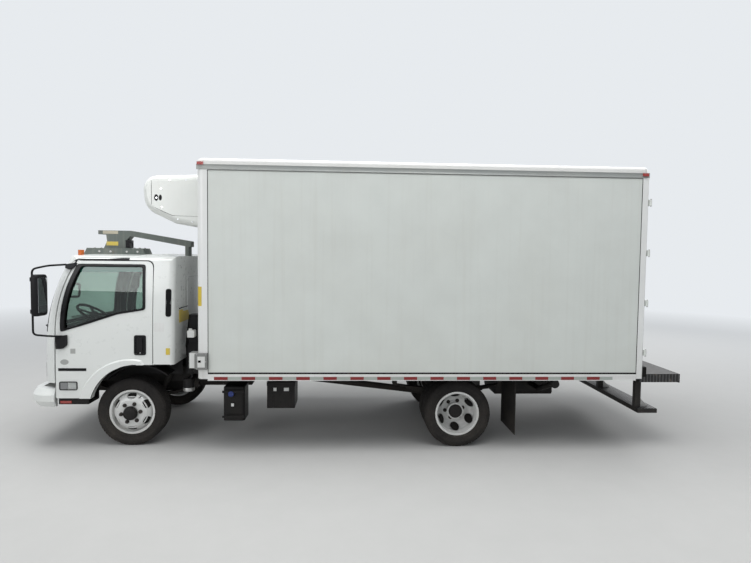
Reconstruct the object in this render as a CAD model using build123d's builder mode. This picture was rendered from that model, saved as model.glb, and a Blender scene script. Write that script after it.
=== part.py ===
from build123d import *
import math
import os

os.makedirs("parts", exist_ok=True)

# Driving dimensions, in millimetres. Front is -X, the driver's side is -Y, the ground is Z = 0.
wheelbase = 3810
front_overhang = 1170
cargo_start = 827
cargo_length = 5122
step_depth = 531
overall_length = front_overhang + cargo_start + cargo_length + step_depth

axle_front = front_overhang - overall_length / 2
axle_rear = axle_front + wheelbase

# Tyres and wheels
tyre_radius = 392
tyre_width = 226
tread_width = 186
bead_radius = 247
flange_radius = 260
rim_width = 172
rim_wall = 9
disc_offset = 127
disc_wall = 10
bolt_face_radius = 150
pilot_radius = 82
hand_holes = 6
hand_hole_radius = 191
hand_hole_length = 104
hand_hole_width = 50
front_track = 1665
rear_track = 1650
dual_spacing = 254
axle_height = tyre_radius

# Hubs and running fits
fit_gap = 0.05
spindle_radius = 28
drum_radius = 188
drum_wall = 12
kingpin_y = 706
kingpin_radius = 16
kingpin_boss_radius = 34
kingpin_boss_height = 110
moving_gap = 6

# Ladder frame
rail_spacing = 850
rail_height = 190
rail_flange = 65
rail_wall = 7
frame_top = 830
frame_bottom = frame_top - rail_height
rail_front = axle_front - 900
rail_back = axle_front + cargo_start + cargo_length - 40

# Cargo box
cargo_width = 2438
cargo_floor_bottom = 850
cargo_floor_top = 1040
cargo_wall = 80
cargo_wall_top = 3172
cargo_roof_top = 3302
post_depth = 122
post_radius = 70
skin_inset = 6
rear_frame_depth = 76
rear_post_width = 78
rear_sill_top = 992
rear_header_bottom = 3060
bottom_rail_top = 923
door_wall = 45
cargo_front = axle_front + cargo_start
cargo_back = cargo_front + cargo_length

# Cab
cab_half_width = 1032
cab_bottom = 585
cab_back = axle_front + 516
cab_wall = 62
cab_roof_top = 2236
roof_bow = 26
roof_edge_y = 900
cab_skirt = 970
belt_height = 1300
arch_centre_x = axle_front + 100
arch_centre_z = 445
arch_radius = 530
flare_height = 22
door_back = axle_front + 277
door_top = 2158
door_corner = 60
door_lip_y = 900
door_lip_z = 2110
door_gap = 8
door_front_gap = 14
door_axis_x = axle_front - 790
door_axis_y = 1022
door_pin_radius = 6
door_hinges = (925, 1245)
door_hinge_height = 40
firewall_bottom = 880
cabin_half_width = 950
footwell_z = 850
floor_z = 985
panel = 26
cover_y = 330
cover_z = 1150
hinge_x = axle_front - 1010
hinge_y = 330
hinge_z = 745
hinge_pin_radius = 14


def profile_plane(y):
    """A plane whose X is the truck's X and whose Y is up, seen from the driver's side."""
    return Plane(origin=(0, y, 0), x_dir=(1, 0, 0), z_dir=(0, -1, 0))


def cross_plane(x):
    """A plane across the truck, whose X is the truck's Y and whose Y is up."""
    return Plane(origin=(x, 0, 0), x_dir=(0, 1, 0), z_dir=(1, 0, 0))


def finish(builder, name):
    """Label a finished piece and write its file."""
    builder.part.label = name
    export_step(builder.part, f"parts/{name}.step")


def block(x0, x1, y0, y1, z0, z1, mode=Mode.ADD):
    """A plain block between two corners, in the active part."""
    with Locations(((x0 + x1) / 2, (y0 + y1) / 2, (z0 + z1) / 2)):
        Box(abs(x1 - x0), abs(y1 - y0), abs(z1 - z0), mode=mode)


def rod(start, stop, radius, mode=Mode.ADD):
    """A round bar from one point to another, in the active part."""
    along = Vector(*stop) - Vector(*start)
    with BuildSketch(Plane(origin=start, z_dir=along)) as end:
        Circle(radius)
    extrude(end.sketch, amount=along.length, mode=mode)


# Tyres: one section revolved for each tyre, twin tyres together
def make_tyre(name, axle_x, centres):
    # one half of the section, from the bead over the rim's flange, sidewall and shoulder to the tread
    flank = [
        # radius, distance from the tyre's middle
        (bead_radius, rim_width / 2 - 18),
        (flange_radius + 2, rim_width / 2 - 15),
        (bead_radius + 64, tyre_width / 2),
        (tyre_radius - 30, tyre_width / 2 - 5),
        (tyre_radius - 5, tread_width / 2),
    ]
    other_flank = [(radius, -along) for radius, along in reversed(flank)]
    with BuildPart() as tyre:
        for y in centres:
            with BuildSketch(Plane(origin=(axle_x, y, axle_height))):
                with BuildLine():
                    Polyline(flank + [(tyre_radius, 0)] + other_flank, close=True)
                make_face()
            revolve(axis=Axis((axle_x, y, axle_height), (0, 1, 0)))
    finish(tyre, name)


# Steel disc wheel: rim and dished disc, out is +1 or -1 along Y towards the disc's face
def wheel_section(axle_x, y, out):
    half = rim_width / 2
    face = out * disc_offset
    with BuildSketch(Plane(origin=(axle_x, y, axle_height))) as barrel:
        with BuildLine():
            Polyline(
                (bead_radius - rim_wall, -half), (flange_radius, -half), (flange_radius, -half + 9),
                (bead_radius - 1, -half + 14), (bead_radius - 1, -half + 40),
                (bead_radius - 16, -half + 62),
                (bead_radius - 16, half - 62), (bead_radius - 1, half - 40), (bead_radius - 1, half - 14),
                (flange_radius, half - 9), (flange_radius, half), (bead_radius - rim_wall, half),
                (bead_radius - 16 - rim_wall, half - 60), (bead_radius - 16 - rim_wall, 60 - half),
                close=True)
        make_face()
    revolve(barrel.sketch, axis=Axis((axle_x, y, axle_height), (0, 1, 0)))
    joint_radius = bead_radius - 16 - rim_wall / 2
    back = face - out * disc_wall
    root = out * 18
    with BuildSketch(Plane(origin=(axle_x, y, axle_height))) as disc:
        with BuildLine():
            Polyline((pilot_radius, face), (bolt_face_radius, face), (178, out * 113), (206, out * 84),
                     (joint_radius, root + out * 14), (joint_radius, root), (197, out * 74),
                     (171, out * 101), (bolt_face_radius - 3, back), (pilot_radius, back), close=True)
        make_face()
    revolve(disc.sketch, axis=Axis((axle_x, y, axle_height), (0, 1, 0)))
    with BuildSketch(Plane(origin=(axle_x, y + out * 40, axle_height), x_dir=(1, 0, 0),
                           z_dir=(0, out, 0))) as holes:
        with PolarLocations(hand_hole_radius, hand_holes, start_angle=30):
            SlotOverall(hand_hole_length, hand_hole_width, rotation=90)
    extrude(holes.sketch, amount=140, mode=Mode.SUBTRACT)


def make_front_wheel(name, side):
    centre = side * front_track / 2
    face = centre + side * disc_offset
    inner = side * (kingpin_y + kingpin_boss_radius + 36)
    bore_end = face - side * 40
    with BuildPart() as wheel:
        wheel_section(axle_front, centre, side)
        # hub with its cap, and the brake drum inside the rim
        rod((axle_front, inner, axle_height), (axle_front, face + side * 14, axle_height), pilot_radius - 4)
        rod((axle_front, face - side * 24, axle_height), (axle_front, face - side * 10, axle_height),
            bolt_face_radius - 10)
        rod((axle_front, face, axle_height), (axle_front, face + side * 44, axle_height), 62)
        rod((axle_front, inner, axle_height), (axle_front, face - side * 24, axle_height), drum_radius)
        rod((axle_front, inner, axle_height), (axle_front, face - side * 40, axle_height),
            drum_radius - drum_wall, Mode.SUBTRACT)
        rod((axle_front, inner + side * 4, axle_height), (axle_front, face - side * 20, axle_height),
            pilot_radius - 14)
        rod((axle_front, inner, axle_height), (axle_front, bore_end, axle_height),
            spindle_radius + fit_gap, Mode.SUBTRACT)
    finish(wheel, name)


def make_rear_wheels(name, side):
    middle = side * rear_track / 2
    outer = middle + side * dual_spacing / 2
    inner = middle - side * dual_spacing / 2
    drum_start = middle - side * 205
    with BuildPart() as wheels:
        wheel_section(axle_rear, outer, -side)
        wheel_section(axle_rear, inner, side)
        # brake drum inside the inner rim, hub and axle flange through both discs
        rod((axle_rear, drum_start, axle_height), (axle_rear, middle - side * 8, axle_height),
            drum_radius + 12)
        rod((axle_rear, drum_start, axle_height), (axle_rear, middle - side * 24, axle_height),
            drum_radius + 12 - drum_wall, Mode.SUBTRACT)
        rod((axle_rear, middle - side * 60, axle_height), (axle_rear, middle + side * 92, axle_height),
            pilot_radius + 1)
        rod((axle_rear, middle - side * 12, axle_height), (axle_rear, middle + side * 12, axle_height),
            bolt_face_radius - 6)
        rod((axle_rear, middle + side * 92, axle_height), (axle_rear, middle + side * 104, axle_height), 96)
        rod((axle_rear, drum_start, axle_height), (axle_rear, middle + side * 60, axle_height),
            rear_spindle_radius + fit_gap, Mode.SUBTRACT)
    finish(wheels, name)


rear_spindle_radius = 44
for side, hand in ((-1, "left"), (1, "right")):
    make_tyre(f"tyre_front_{hand}", axle_front, [side * front_track / 2])
    make_front_wheel(f"wheel_front_{hand}", side)
    twin = [side * (rear_track / 2 + dual_spacing / 2), side * (rear_track / 2 - dual_spacing / 2)]
    make_tyre(f"tyres_rear_{hand}", axle_rear, twin)
    make_rear_wheels(f"wheels_rear_{hand}", side)


# Steering knuckles: a yoke round the beam's end, the kingpin, the spindle and the brake's back plate
yoke_top = axle_height + kingpin_boss_height / 2
yoke_bottom = axle_height - kingpin_boss_height / 2
yoke_wall = 26
web_y = kingpin_y + kingpin_boss_radius + moving_gap

for side, hand in ((-1, "left"), (1, "right")):
    with BuildPart() as knuckle:
        for low in (yoke_top + 3, yoke_bottom - 3 - yoke_wall):
            rod((axle_front, side * kingpin_y, low), (axle_front, side * kingpin_y, low + yoke_wall),
                kingpin_boss_radius)
            block(axle_front - kingpin_boss_radius, axle_front + kingpin_boss_radius,
                  side * kingpin_y, side * (web_y + 20), low, low + yoke_wall)
        block(axle_front - kingpin_boss_radius, axle_front + kingpin_boss_radius,
              side * web_y, side * (web_y + 20), yoke_bottom - 3 - yoke_wall, yoke_top + 3 + yoke_wall)
        rod((axle_front, side * kingpin_y, yoke_bottom - 10), (axle_front, side * kingpin_y, yoke_top + 10),
            kingpin_radius)
        rod((axle_front, side * (web_y + 8), axle_height), (axle_front, side * (web_y + 18), axle_height),
            drum_radius - 4)
        rod((axle_front, side * (web_y + 8), axle_height),
            (axle_front, side * (front_track / 2 + disc_offset - 50), axle_height), spindle_radius)
        # steering arm to the rear of the beam
        block(axle_front, axle_front + 170, side * (kingpin_y - 20), side * (kingpin_y + 6),
              yoke_bottom - 3 - yoke_wall, yoke_bottom - 3)
    finish(knuckle, f"knuckle_{hand}")

# Front axle: an I-beam with a boss round each kingpin
beam_half_height = 42
beam_flange = 16
with BuildPart() as front_axle:
    beam_top = axle_height + beam_half_height
    beam_bottom = axle_height - beam_half_height
    block(axle_front - 34, axle_front + 34, -kingpin_y, kingpin_y, beam_top - beam_flange, beam_top)
    block(axle_front - 34, axle_front + 34, -kingpin_y, kingpin_y, beam_bottom, beam_bottom + beam_flange)
    block(axle_front - 9, axle_front + 9, -kingpin_y, kingpin_y, beam_bottom, beam_top)
    for side in (-1, 1):
        rod((axle_front, side * kingpin_y, yoke_bottom), (axle_front, side * kingpin_y, yoke_top),
            kingpin_boss_radius)
        rod((axle_front, side * kingpin_y, yoke_bottom), (axle_front, side * kingpin_y, yoke_top),
            kingpin_radius + fit_gap, Mode.SUBTRACT)
finish(front_axle, "front_axle")

# Rear axle: banjo housing, tubes, spindles and back plates, with the drive shaft to the gearbox
banjo_radius = 178
tube_radius = 58
plate_y = rear_track / 2 - 214
engine_back = axle_front + 560
gearbox_back = axle_front + 1250
shaft_radius = 42
with BuildPart() as rear_axle:
    rod((axle_rear, -plate_y, axle_height), (axle_rear, plate_y, axle_height), tube_radius)
    rod((axle_rear - 80, 0, axle_height), (axle_rear + 110, 0, axle_height), banjo_radius)
    with BuildSketch(Plane(origin=(axle_rear - 80, 0, axle_height), z_dir=(-1, 0, 0))):
        Circle(120)
    extrude(amount=120, taper=16)
    for side in (-1, 1):
        rod((axle_rear, side * (plate_y - 12), axle_height), (axle_rear, side * plate_y, axle_height),
            drum_radius)
        rod((axle_rear, side * (plate_y - 12), axle_height),
            (axle_rear, side * (rear_track / 2 + 50), axle_height), rear_spindle_radius)
    rod((axle_rear - 190, 0, axle_height), (gearbox_back + 18, 0, frame_bottom + 30), shaft_radius)
finish(rear_axle, "rear_axle")

# Leaf springs: leaves on concentric arcs, each shorter than the one above, with hangers and clamp plate
spring_width = 66
spring_y = rail_spacing / 2 - rail_flange / 2
spring_table = (
    # axle x, half length, seat height, eye height, leaves, leaf thickness
    (axle_front, 600, axle_height + beam_half_height, 590, 4, 11),
    (axle_rear, 690, axle_height + tube_radius, 600, 7, 13),
)
with BuildPart() as leaf_springs:
    for centre_x, half_length, seat, eye, leaves, thickness in spring_table:
        top = seat + leaves * thickness
        rise = eye - top
        bend = (rise ** 2 + half_length ** 2) / (2 * rise)
        for side in (-1, 1):
            with BuildSketch(profile_plane(side * spring_y)) as stack:
                for number in range(leaves):
                    reach = math.degrees(math.asin(half_length * (1 - 0.8 * number / leaves) / bend))
                    inner = bend + number * thickness
                    with BuildLine():
                        upper = CenterArc((centre_x, top + bend), inner, 270 - reach, 2 * reach)
                        lower = CenterArc((centre_x, top + bend), inner + thickness, 270 - reach, 2 * reach)
                        Line(upper @ 0, lower @ 0)
                        Line(upper @ 1, lower @ 1)
                    make_face()
            extrude(stack.sketch, amount=spring_width / 2, both=True)
            inside = side * spring_y - spring_width / 2
            outside = side * spring_y + spring_width / 2
            for end in (-1, 1):
                hanger_x = centre_x + end * half_length
                rod((hanger_x, inside, eye), (hanger_x, outside, eye), 24)
                block(hanger_x - 30, hanger_x + 30, inside, outside, eye, frame_bottom)
            block(centre_x - 70, centre_x + 70, inside, outside, top, top + 20)
finish(leaf_springs, "leaf_springs")

# Ladder frame: two channels and crossmembers
crossmembers = (-860, -560, 1400, 2300, 3200, 4380, 5850)
cross_bottom = frame_top - 92
with BuildPart() as frame:
    for side in (-1, 1):
        outer = side * rail_spacing / 2
        block(rail_front, rail_back, outer, outer - side * rail_wall, frame_bottom, frame_top)
        block(rail_front, rail_back, outer, outer - side * rail_flange, frame_top - rail_wall, frame_top)
        block(rail_front, rail_back, outer, outer - side * rail_flange, frame_bottom,
              frame_bottom + rail_wall)
    for station in crossmembers:
        web = axle_front + station
        block(web - 4, web + 4, -rail_spacing / 2 + rail_wall, rail_spacing / 2 - rail_wall,
              cross_bottom, frame_top - rail_wall)
        block(web - 4, web + 50, -rail_spacing / 2 + rail_wall, rail_spacing / 2 - rail_wall,
              cross_bottom, cross_bottom + rail_wall)
    # brackets that carry the cab's hinge, ahead of the front crossmember
    for side in (-1, 1):
        for y in (hinge_y - 40, hinge_y + 28):
            block(hinge_x, rail_front + 40, side * y, side * (y + 12), frame_bottom + 40, hinge_z + 24)
            rod((hinge_x, side * y, hinge_z), (hinge_x, side * (y + 12), hinge_z), 24)
            rod((hinge_x, side * (y - 1), hinge_z), (hinge_x, side * (y + 13), hinge_z),
                hinge_pin_radius + fit_gap, Mode.SUBTRACT)
finish(frame, "frame")

# Engine and gearbox as plain blocks between the rails, and the exhaust on the right
with BuildPart() as engine:
    block(axle_front - 330, engine_back, -270, 270, 500, 1120)
    block(engine_back, gearbox_back, -150, 150, 520, 800)
finish(engine, "engine")

exhaust_y = 590
muffler_radius = 120
with BuildPart() as exhaust:
    rod((axle_front + 1350, exhaust_y, 600), (axle_front + 2150, exhaust_y, 600), muffler_radius)
    rod((axle_front + 700, exhaust_y, 600), (axle_front + 1350, exhaust_y, 600), 38)
    rod((axle_front + 2150, exhaust_y, 600), (axle_front + 2700, exhaust_y, 600), 38)
    for station in (1450, 2050):
        block(axle_front + station - 20, axle_front + station + 20, rail_spacing / 2, exhaust_y, 640, 700)
finish(exhaust, "exhaust")

# Front bumper: a curved channel, bowed in plan, with its ends wrapped round the corners
bumper_bottom = 478
bumper_top = 690
bumper_nose = axle_front - front_overhang
bumper_bow = 36
bumper_turn = 110
bumper_wall = 30
bumper_end = axle_front - 822
mouth_width = 760
mouth_height = 74
lamp_pocket_y = 640
lamp_pocket_radius = 46


def bumper_plan(z, inset):
    """The bumper's outline in plan at a height, drawn in by an inset."""
    with BuildSketch(Plane.XY.offset(z)) as outline:
        with BuildLine():
            nose = ThreePointArc((bumper_nose + bumper_bow + inset, -870), (bumper_nose + inset, 0),
                                 (bumper_nose + bumper_bow + inset, 870))
            right = ThreePointArc(nose @ 1, (bumper_nose + bumper_turn + inset * 0.8, 990 - inset * 0.8),
                                  (bumper_end, 1036 - inset))
            Line(right @ 1, (bumper_end, inset - 1036))
            ThreePointArc((bumper_end, inset - 1036),
                          (bumper_nose + bumper_turn + inset * 0.8, inset * 0.8 - 990), nose @ 0)
        make_face()
    return outline.sketch


with BuildPart() as front_bumper:
    add(bumper_plan(bumper_bottom, 45))
    add(bumper_plan(bumper_bottom + 70, 0))
    add(bumper_plan(bumper_top - 70, 0))
    add(bumper_plan(bumper_top, 38))
    loft(ruled=True)
    with BuildPart(mode=Mode.PRIVATE) as bumper_hollow:
        add(bumper_plan(bumper_bottom - 20, 45 + bumper_wall))
        add(bumper_plan(bumper_top - 24, 45 + bumper_wall))
        loft(ruled=True)
    add(bumper_hollow.part, mode=Mode.SUBTRACT)
    with BuildPart(mode=Mode.PRIVATE) as bumper_mouth:
        add(bumper_plan(bumper_bottom - 20, 112))
        add(bumper_plan(bumper_top + 20, 112))
        loft(ruled=True)
    add(bumper_mouth.part, mode=Mode.SUBTRACT)
    block(bumper_end - 60, bumper_end + 80, -960, 960, bumper_bottom - 40, bumper_top + 40, Mode.SUBTRACT)
    # lower mouth, and a round pocket for a lamp each side
    with BuildSketch(cross_plane(bumper_nose - 20)) as mouth:
        with Locations((0, bumper_bottom + 88)):
            RectangleRounded(mouth_width, mouth_height, mouth_height / 2 - 1)
        with Locations((lamp_pocket_y, bumper_bottom + 96), (-lamp_pocket_y, bumper_bottom + 96)):
            Circle(lamp_pocket_radius)
    extrude(mouth.sketch, amount=150, mode=Mode.SUBTRACT)
    for side in (-1, 1):
        bracket = side * (rail_spacing / 2 - rail_wall)
        block(bumper_nose + 60, rail_front - 4, bracket, bracket - side * 8, frame_bottom - 60,
              bumper_top - 30)
        block(rail_front - 60, rail_front + 30, bracket, bracket - side * 8, frame_bottom + rail_wall,
              frame_top - 20)
finish(front_bumper, "front_bumper")

# Boxes and tanks hung outside the left rail, and the fuel tank between the rails behind the axle
rail_outer = -rail_spacing / 2
with BuildPart() as battery_box:
    block(axle_front + 1549, axle_front + 1879, -842, rail_outer - 30, 404, 700)
    fillet(battery_box.edges().filter_by(Axis.X), 16)
    for station in (1600, 1810):
        block(axle_front + station, axle_front + station + 30, rail_outer - 40, rail_outer, 660, 720)
finish(battery_box, "battery_box")

with BuildPart() as def_tank:
    block(axle_front + 1030, axle_front + 1282, -842, rail_outer - 120, 256, 672)
    fillet(def_tank.edges().filter_by(Axis.Z), 40)
    fillet(def_tank.faces().sort_by(Axis.Z)[-1].edges(), 24)
    rod((axle_front + 1130, -800, 560), (axle_front + 1130, -862, 590), 32)
    block(axle_front + 1080, axle_front + 1230, rail_outer - 130, rail_outer, 640, 676)
finish(def_tank, "def_tank")

with BuildPart() as fuel_tank:
    block(axle_front + 4480, axle_front + 5240, -300, 300, 420, 760)
    fillet(fuel_tank.edges().filter_by(Axis.X), 60)
    for station in (4620, 5080):
        block(axle_front + station, axle_front + station + 50,
              -rail_spacing / 2 + rail_wall, rail_spacing / 2 - rail_wall, 744, 800)
    rod((axle_front + 4935, -290, 590), (axle_front + 4935, -640, 590), 34)
    rod((axle_front + 4935, -620, 584), (axle_front + 4935, -1110, 768), 34)
    rod((axle_front + 4935, -1090, 772), (axle_front + 4935, -1160, 776), 52)
finish(fuel_tank, "fuel_tank")

with BuildPart() as air_canister:
    rod((axle_front + 590, -700, 586), (axle_front + 590, -700, 740), 66)
    block(axle_front + 560, axle_front + 620, -700, rail_outer, 690, 740)
finish(air_canister, "air_canister")

flap_x = axle_front + 4478
with BuildPart() as mud_flaps:
    for side in (-1, 1):
        block(flap_x, flap_x + 8, side * 560, side * 1120, 158, 800)
        block(flap_x - 30, flap_x + 38, side * rail_spacing / 2, side * 1140, 800, 838)
finish(mud_flaps, "mud_flaps")

# Air intake behind the cab: a mushroom head on a duct down to the rail
with BuildPart() as air_intake:
    with BuildSketch(Plane.XY.offset(frame_top - 20)):
        with Locations((axle_front + 660, -640)):
            RectangleRounded(190, 250, 40)
    extrude(amount=430)
    with BuildSketch(Plane.XY.offset(frame_top + 410)):
        with Locations((axle_front + 660, -640)):
            RectangleRounded(190, 250, 40)
    with BuildSketch(Plane.XY.offset(frame_top + 690)):
        with Locations((axle_front + 668, -700)):
            RectangleRounded(120, 170, 40)
    loft()
    block(axle_front + 600, axle_front + 720, -560, rail_outer, frame_top - 60, frame_top + 60)
finish(air_intake, "air_intake")

# Cargo box floor: deck, long sills on the rails, cross sills and the side rails
side_y = cargo_width / 2
wall_y = side_y - skin_inset
wall_front = cargo_front + post_depth
wall_back = cargo_back - rear_frame_depth
with BuildPart() as box_floor:
    block(wall_front, wall_back, -wall_y + cargo_wall, wall_y - cargo_wall, cargo_floor_bottom + 60,
          cargo_floor_top)
    for side in (-1, 1):
        block(wall_front, wall_back, side * (wall_y - cargo_wall), side * side_y, cargo_floor_bottom,
              bottom_rail_top)
        block(wall_front, wall_back, side * (rail_spacing / 2 - rail_flange), side * rail_spacing / 2,
              frame_top, cargo_floor_bottom + 60)
    sills = 8
    for number in range(sills):
        x = wall_front + 120 + number * (wall_back - wall_front - 300) / (sills - 1)
        block(x, x + 60, -wall_y + cargo_wall, wall_y - cargo_wall, cargo_floor_bottom + 8,
              cargo_floor_bottom + 60)
finish(box_floor, "box_floor")

# Insulated side walls, roof and front wall with its rounded corner posts
for side, hand in ((-1, "left"), (1, "right")):
    with BuildPart() as wall:
        block(wall_front, wall_back, side * wall_y, side * (wall_y - cargo_wall), bottom_rail_top,
              cargo_wall_top)
    finish(wall, f"box_wall_{hand}")

with BuildPart() as box_front_wall:
    with BuildSketch(Plane.XY.offset(cargo_floor_bottom)):
        with BuildLine():
            Polyline((wall_front, -side_y), (cargo_front + post_radius, -side_y))
            RadiusArc((cargo_front + post_radius, -side_y), (cargo_front, post_radius - side_y), post_radius)
            Line((cargo_front, post_radius - side_y), (cargo_front, side_y - post_radius))
            RadiusArc((cargo_front, side_y - post_radius), (cargo_front + post_radius, side_y), post_radius)
            Polyline((cargo_front + post_radius, side_y), (wall_front, side_y),
                     (wall_front, side_y - cargo_wall),
                     (cargo_front + cargo_wall, side_y - cargo_wall),
                     (cargo_front + cargo_wall, cargo_wall - side_y),
                     (wall_front, cargo_wall - side_y), (wall_front, -side_y))
        make_face()
    extrude(amount=cargo_wall_top - cargo_floor_bottom)
finish(box_front_wall, "box_front_wall")

with BuildPart() as box_roof:
    with BuildSketch(Plane.XY.offset(cargo_wall_top)):
        with Locations(((cargo_front + cargo_back) / 2, 0)):
            RectangleRounded(cargo_length, cargo_width, post_radius)
    extrude(amount=cargo_roof_top - cargo_wall_top)
    fillet(box_roof.faces().sort_by(Axis.Z)[-1].edges(), 40)
finish(box_roof, "box_roof")

# Rear frame: posts, header and sill round the doorway
doorway_y = side_y - rear_post_width
with BuildPart() as box_rear_frame:
    block(wall_back, cargo_back, -side_y, side_y, cargo_floor_bottom, cargo_wall_top)
    block(wall_back - 1, cargo_back + 1, -doorway_y, doorway_y, rear_sill_top, rear_header_bottom,
          Mode.SUBTRACT)
    fillet(box_rear_frame.edges().filter_by(Axis.Z).group_by(Axis.X)[-1].sort_by(Axis.Y)[0], 14)
    fillet(box_rear_frame.edges().filter_by(Axis.Z).group_by(Axis.X)[-1].sort_by(Axis.Y)[-1], 14)
finish(box_rear_frame, "box_rear_frame")

# Rear doors, set in the frame, each with two lock rods and their keepers
rear_door_gap = 7
rear_hinge_x = cargo_back + 20
rear_hinge_y = side_y + 9
rod_radius = 13
rod_stand = 26
for side, hand in ((-1, "left"), (1, "right")):
    with BuildPart() as rear_door:
        block(cargo_back - door_wall, cargo_back - 2, side * (doorway_y - rear_door_gap), side * 4,
              rear_sill_top + rear_door_gap, rear_header_bottom - rear_door_gap)
        for share in (0.28, 0.78):
            y = side * doorway_y * share
            rod((cargo_back + rod_stand - 10, y, rear_sill_top + 16),
                (cargo_back + rod_stand - 10, y, rear_header_bottom - 16),
                rod_radius)
            for height in (0.12, 0.5, 0.88):
                z = rear_sill_top + height * (rear_header_bottom - rear_sill_top)
                block(cargo_back - 2, cargo_back + rod_stand - 4, y - 26, y + 26, z - 24, z + 24)
        for height in (0.08, 0.36, 0.64, 0.92):
            z = rear_sill_top + height * (rear_header_bottom - rear_sill_top)
            block(cargo_back - 2, cargo_back + 6, side * (doorway_y - 150),
                  side * (doorway_y - rear_door_gap), z - 40, z + 40)
            block(cargo_back + 4, rear_hinge_x + 4, side * (doorway_y - 40), side * rear_hinge_y, z - 34,
                  z + 34)
            rod((rear_hinge_x, side * rear_hinge_y, z - 34), (rear_hinge_x, side * rear_hinge_y, z + 34), 11)
    finish(rear_door, f"rear_door_{hand}")

# Refrigeration unit on the front wall: a shell with a rounded nose and a swept lower face
unit_half_width = 985
unit_top = 3158
unit_nose = axle_front + 160
unit_bottom = 2545
intake_half_width = 780
intake_rows = (2800, 3040)
intake_depth = 60
intake_bars = 9
seam_depth = 4
evaporator_half_width = 640
with BuildPart() as refrigeration_unit:
    with BuildSketch(profile_plane(0)):
        with BuildLine():
            Line((cargo_front, unit_bottom), (cargo_front, unit_top))
            Line((cargo_front, unit_top), (axle_front + 330, unit_top - 20))
            nose = ThreePointArc((axle_front + 330, unit_top - 20), (axle_front + 196, unit_top - 78),
                                 (unit_nose, 2950))
            Line(nose @ 1, (unit_nose + 4, 2880))
            chin = ThreePointArc((unit_nose + 4, 2880), (axle_front + 215, 2760), (axle_front + 320, 2688))
            Line(chin @ 1, (axle_front + 520, 2592))
            Line((axle_front + 520, 2592), (cargo_front, unit_bottom))
        make_face()
    extrude(amount=unit_half_width, both=True)
    for number in (0, -1):
        end_face = refrigeration_unit.faces().sort_by(Axis.Y)[number]
        fillet(end_face.edges().filter_by(lambda e: e.center().X < cargo_front - 5), 70)
    # condenser intake in the nose, with its bars, and the seam between the upper and lower covers
    with BuildPart(mode=Mode.PRIVATE) as intake:
        block(unit_nose - 20, unit_nose + intake_depth, -intake_half_width, intake_half_width, *intake_rows)
        for number in range(intake_bars):
            z = intake_rows[0] + (number + 0.5) * (intake_rows[1] - intake_rows[0]) / intake_bars
            block(unit_nose - 20, unit_nose + intake_depth, -intake_half_width, intake_half_width,
                  z - 5, z + 5, Mode.SUBTRACT)
        for y in (-intake_half_width / 3, intake_half_width / 3):
            block(unit_nose - 20, unit_nose + intake_depth, y - 8, y + 8, *intake_rows, Mode.SUBTRACT)
    add(intake.part, mode=Mode.SUBTRACT)
    for side in (-1, 1):
        with BuildSketch(profile_plane(side * (unit_half_width - seam_depth))) as seam:
            with BuildLine():
                Polyline((axle_front + 243, 2786), (axle_front + 497, 2681), (cargo_front, 2672),
                         (cargo_front, 2668),
                         (axle_front + 496, 2677), (axle_front + 241, 2782), close=True)
            make_face()
        extrude(seam.sketch, amount=20, dir=(0, side, 0), mode=Mode.SUBTRACT)
finish(refrigeration_unit, "refrigeration_unit")

# Evaporator hung inside the box, on the front wall under the roof
with BuildPart() as evaporator:
    with BuildSketch(profile_plane(0)):
        with BuildLine():
            Polyline((cargo_front + cargo_wall, 2730), (cargo_front + cargo_wall, 3130),
                     (cargo_front + 300, 3130), (cargo_front + 430, 3060),
                     (cargo_front + 430, 2890), (cargo_front + 360, 2730), close=True)
        make_face()
    extrude(amount=evaporator_half_width, both=True)
    for y in (-420, 0, 420):
        rod((cargo_front + 415, y, 2975), (cargo_front + 440, y, 2975), 92, Mode.SUBTRACT)
finish(evaporator, "evaporator")

with BuildPart() as control_box:
    block(cargo_front + 4, cargo_front + post_depth - 1, -side_y - 36, -side_y, 962, 1144)
    block(cargo_front - 90, cargo_front, -side_y + 24, -side_y + 160, 966, 1136)
    block(cargo_front - 20, cargo_front + 60, -side_y - 20, -side_y + 80, 966, 1136)
    add(box_front_wall.part, mode=Mode.SUBTRACT)
finish(control_box, "control_box")

# Rear step: a tread platform behind the sill and a lower bar on three legs
platform_bottom = 777
platform_top = 880
step_half_width = 1100
step_back = cargo_back + step_depth
with BuildPart() as step_bumper:
    block(cargo_back + 24, step_back, -step_half_width, step_half_width, platform_bottom, platform_top)
    block(cargo_back + 44, step_back - 20, -step_half_width - 1, step_half_width + 1,
          platform_bottom - 1, platform_top - 12,
          Mode.SUBTRACT)
    for side in (-1, 1):
        block(rail_back - 260, cargo_back + 300, side * (rail_spacing / 2 + 1),
              side * (rail_spacing / 2 + 13),
              frame_bottom + 10, frame_top - 4)
    for y in (-950, 0, 950):
        block(axle_front + 6005, axle_front + 6075, y - 30, y + 30, 440, platform_top - 12)
    block(axle_front + 6010, axle_front + 6250, -step_half_width + 60, step_half_width - 60, 392, 442)
finish(step_bumper, "step_bumper")

# Red marker lamps on the box and the tail lamps under the sill
with BuildPart() as box_lamps:
    for side in (-1, 1):
        for x, z in ((cargo_front + 46, cargo_roof_top - 62), (cargo_back - 50, cargo_roof_top - 90)):
            block(x - 34, x + 34, side * side_y, side * (side_y + 14), z - 17, z + 17)
        block(cargo_back, cargo_back + 14, side * 780, side * 940, rear_sill_top - 96, rear_sill_top - 30)
    for y in (-1100, -160, 0, 160, 1100):
        block(cargo_back, cargo_back + 12, y - 34, y + 34, cargo_wall_top - 70, cargo_wall_top - 36)
finish(box_lamps, "box_lamps")

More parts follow.
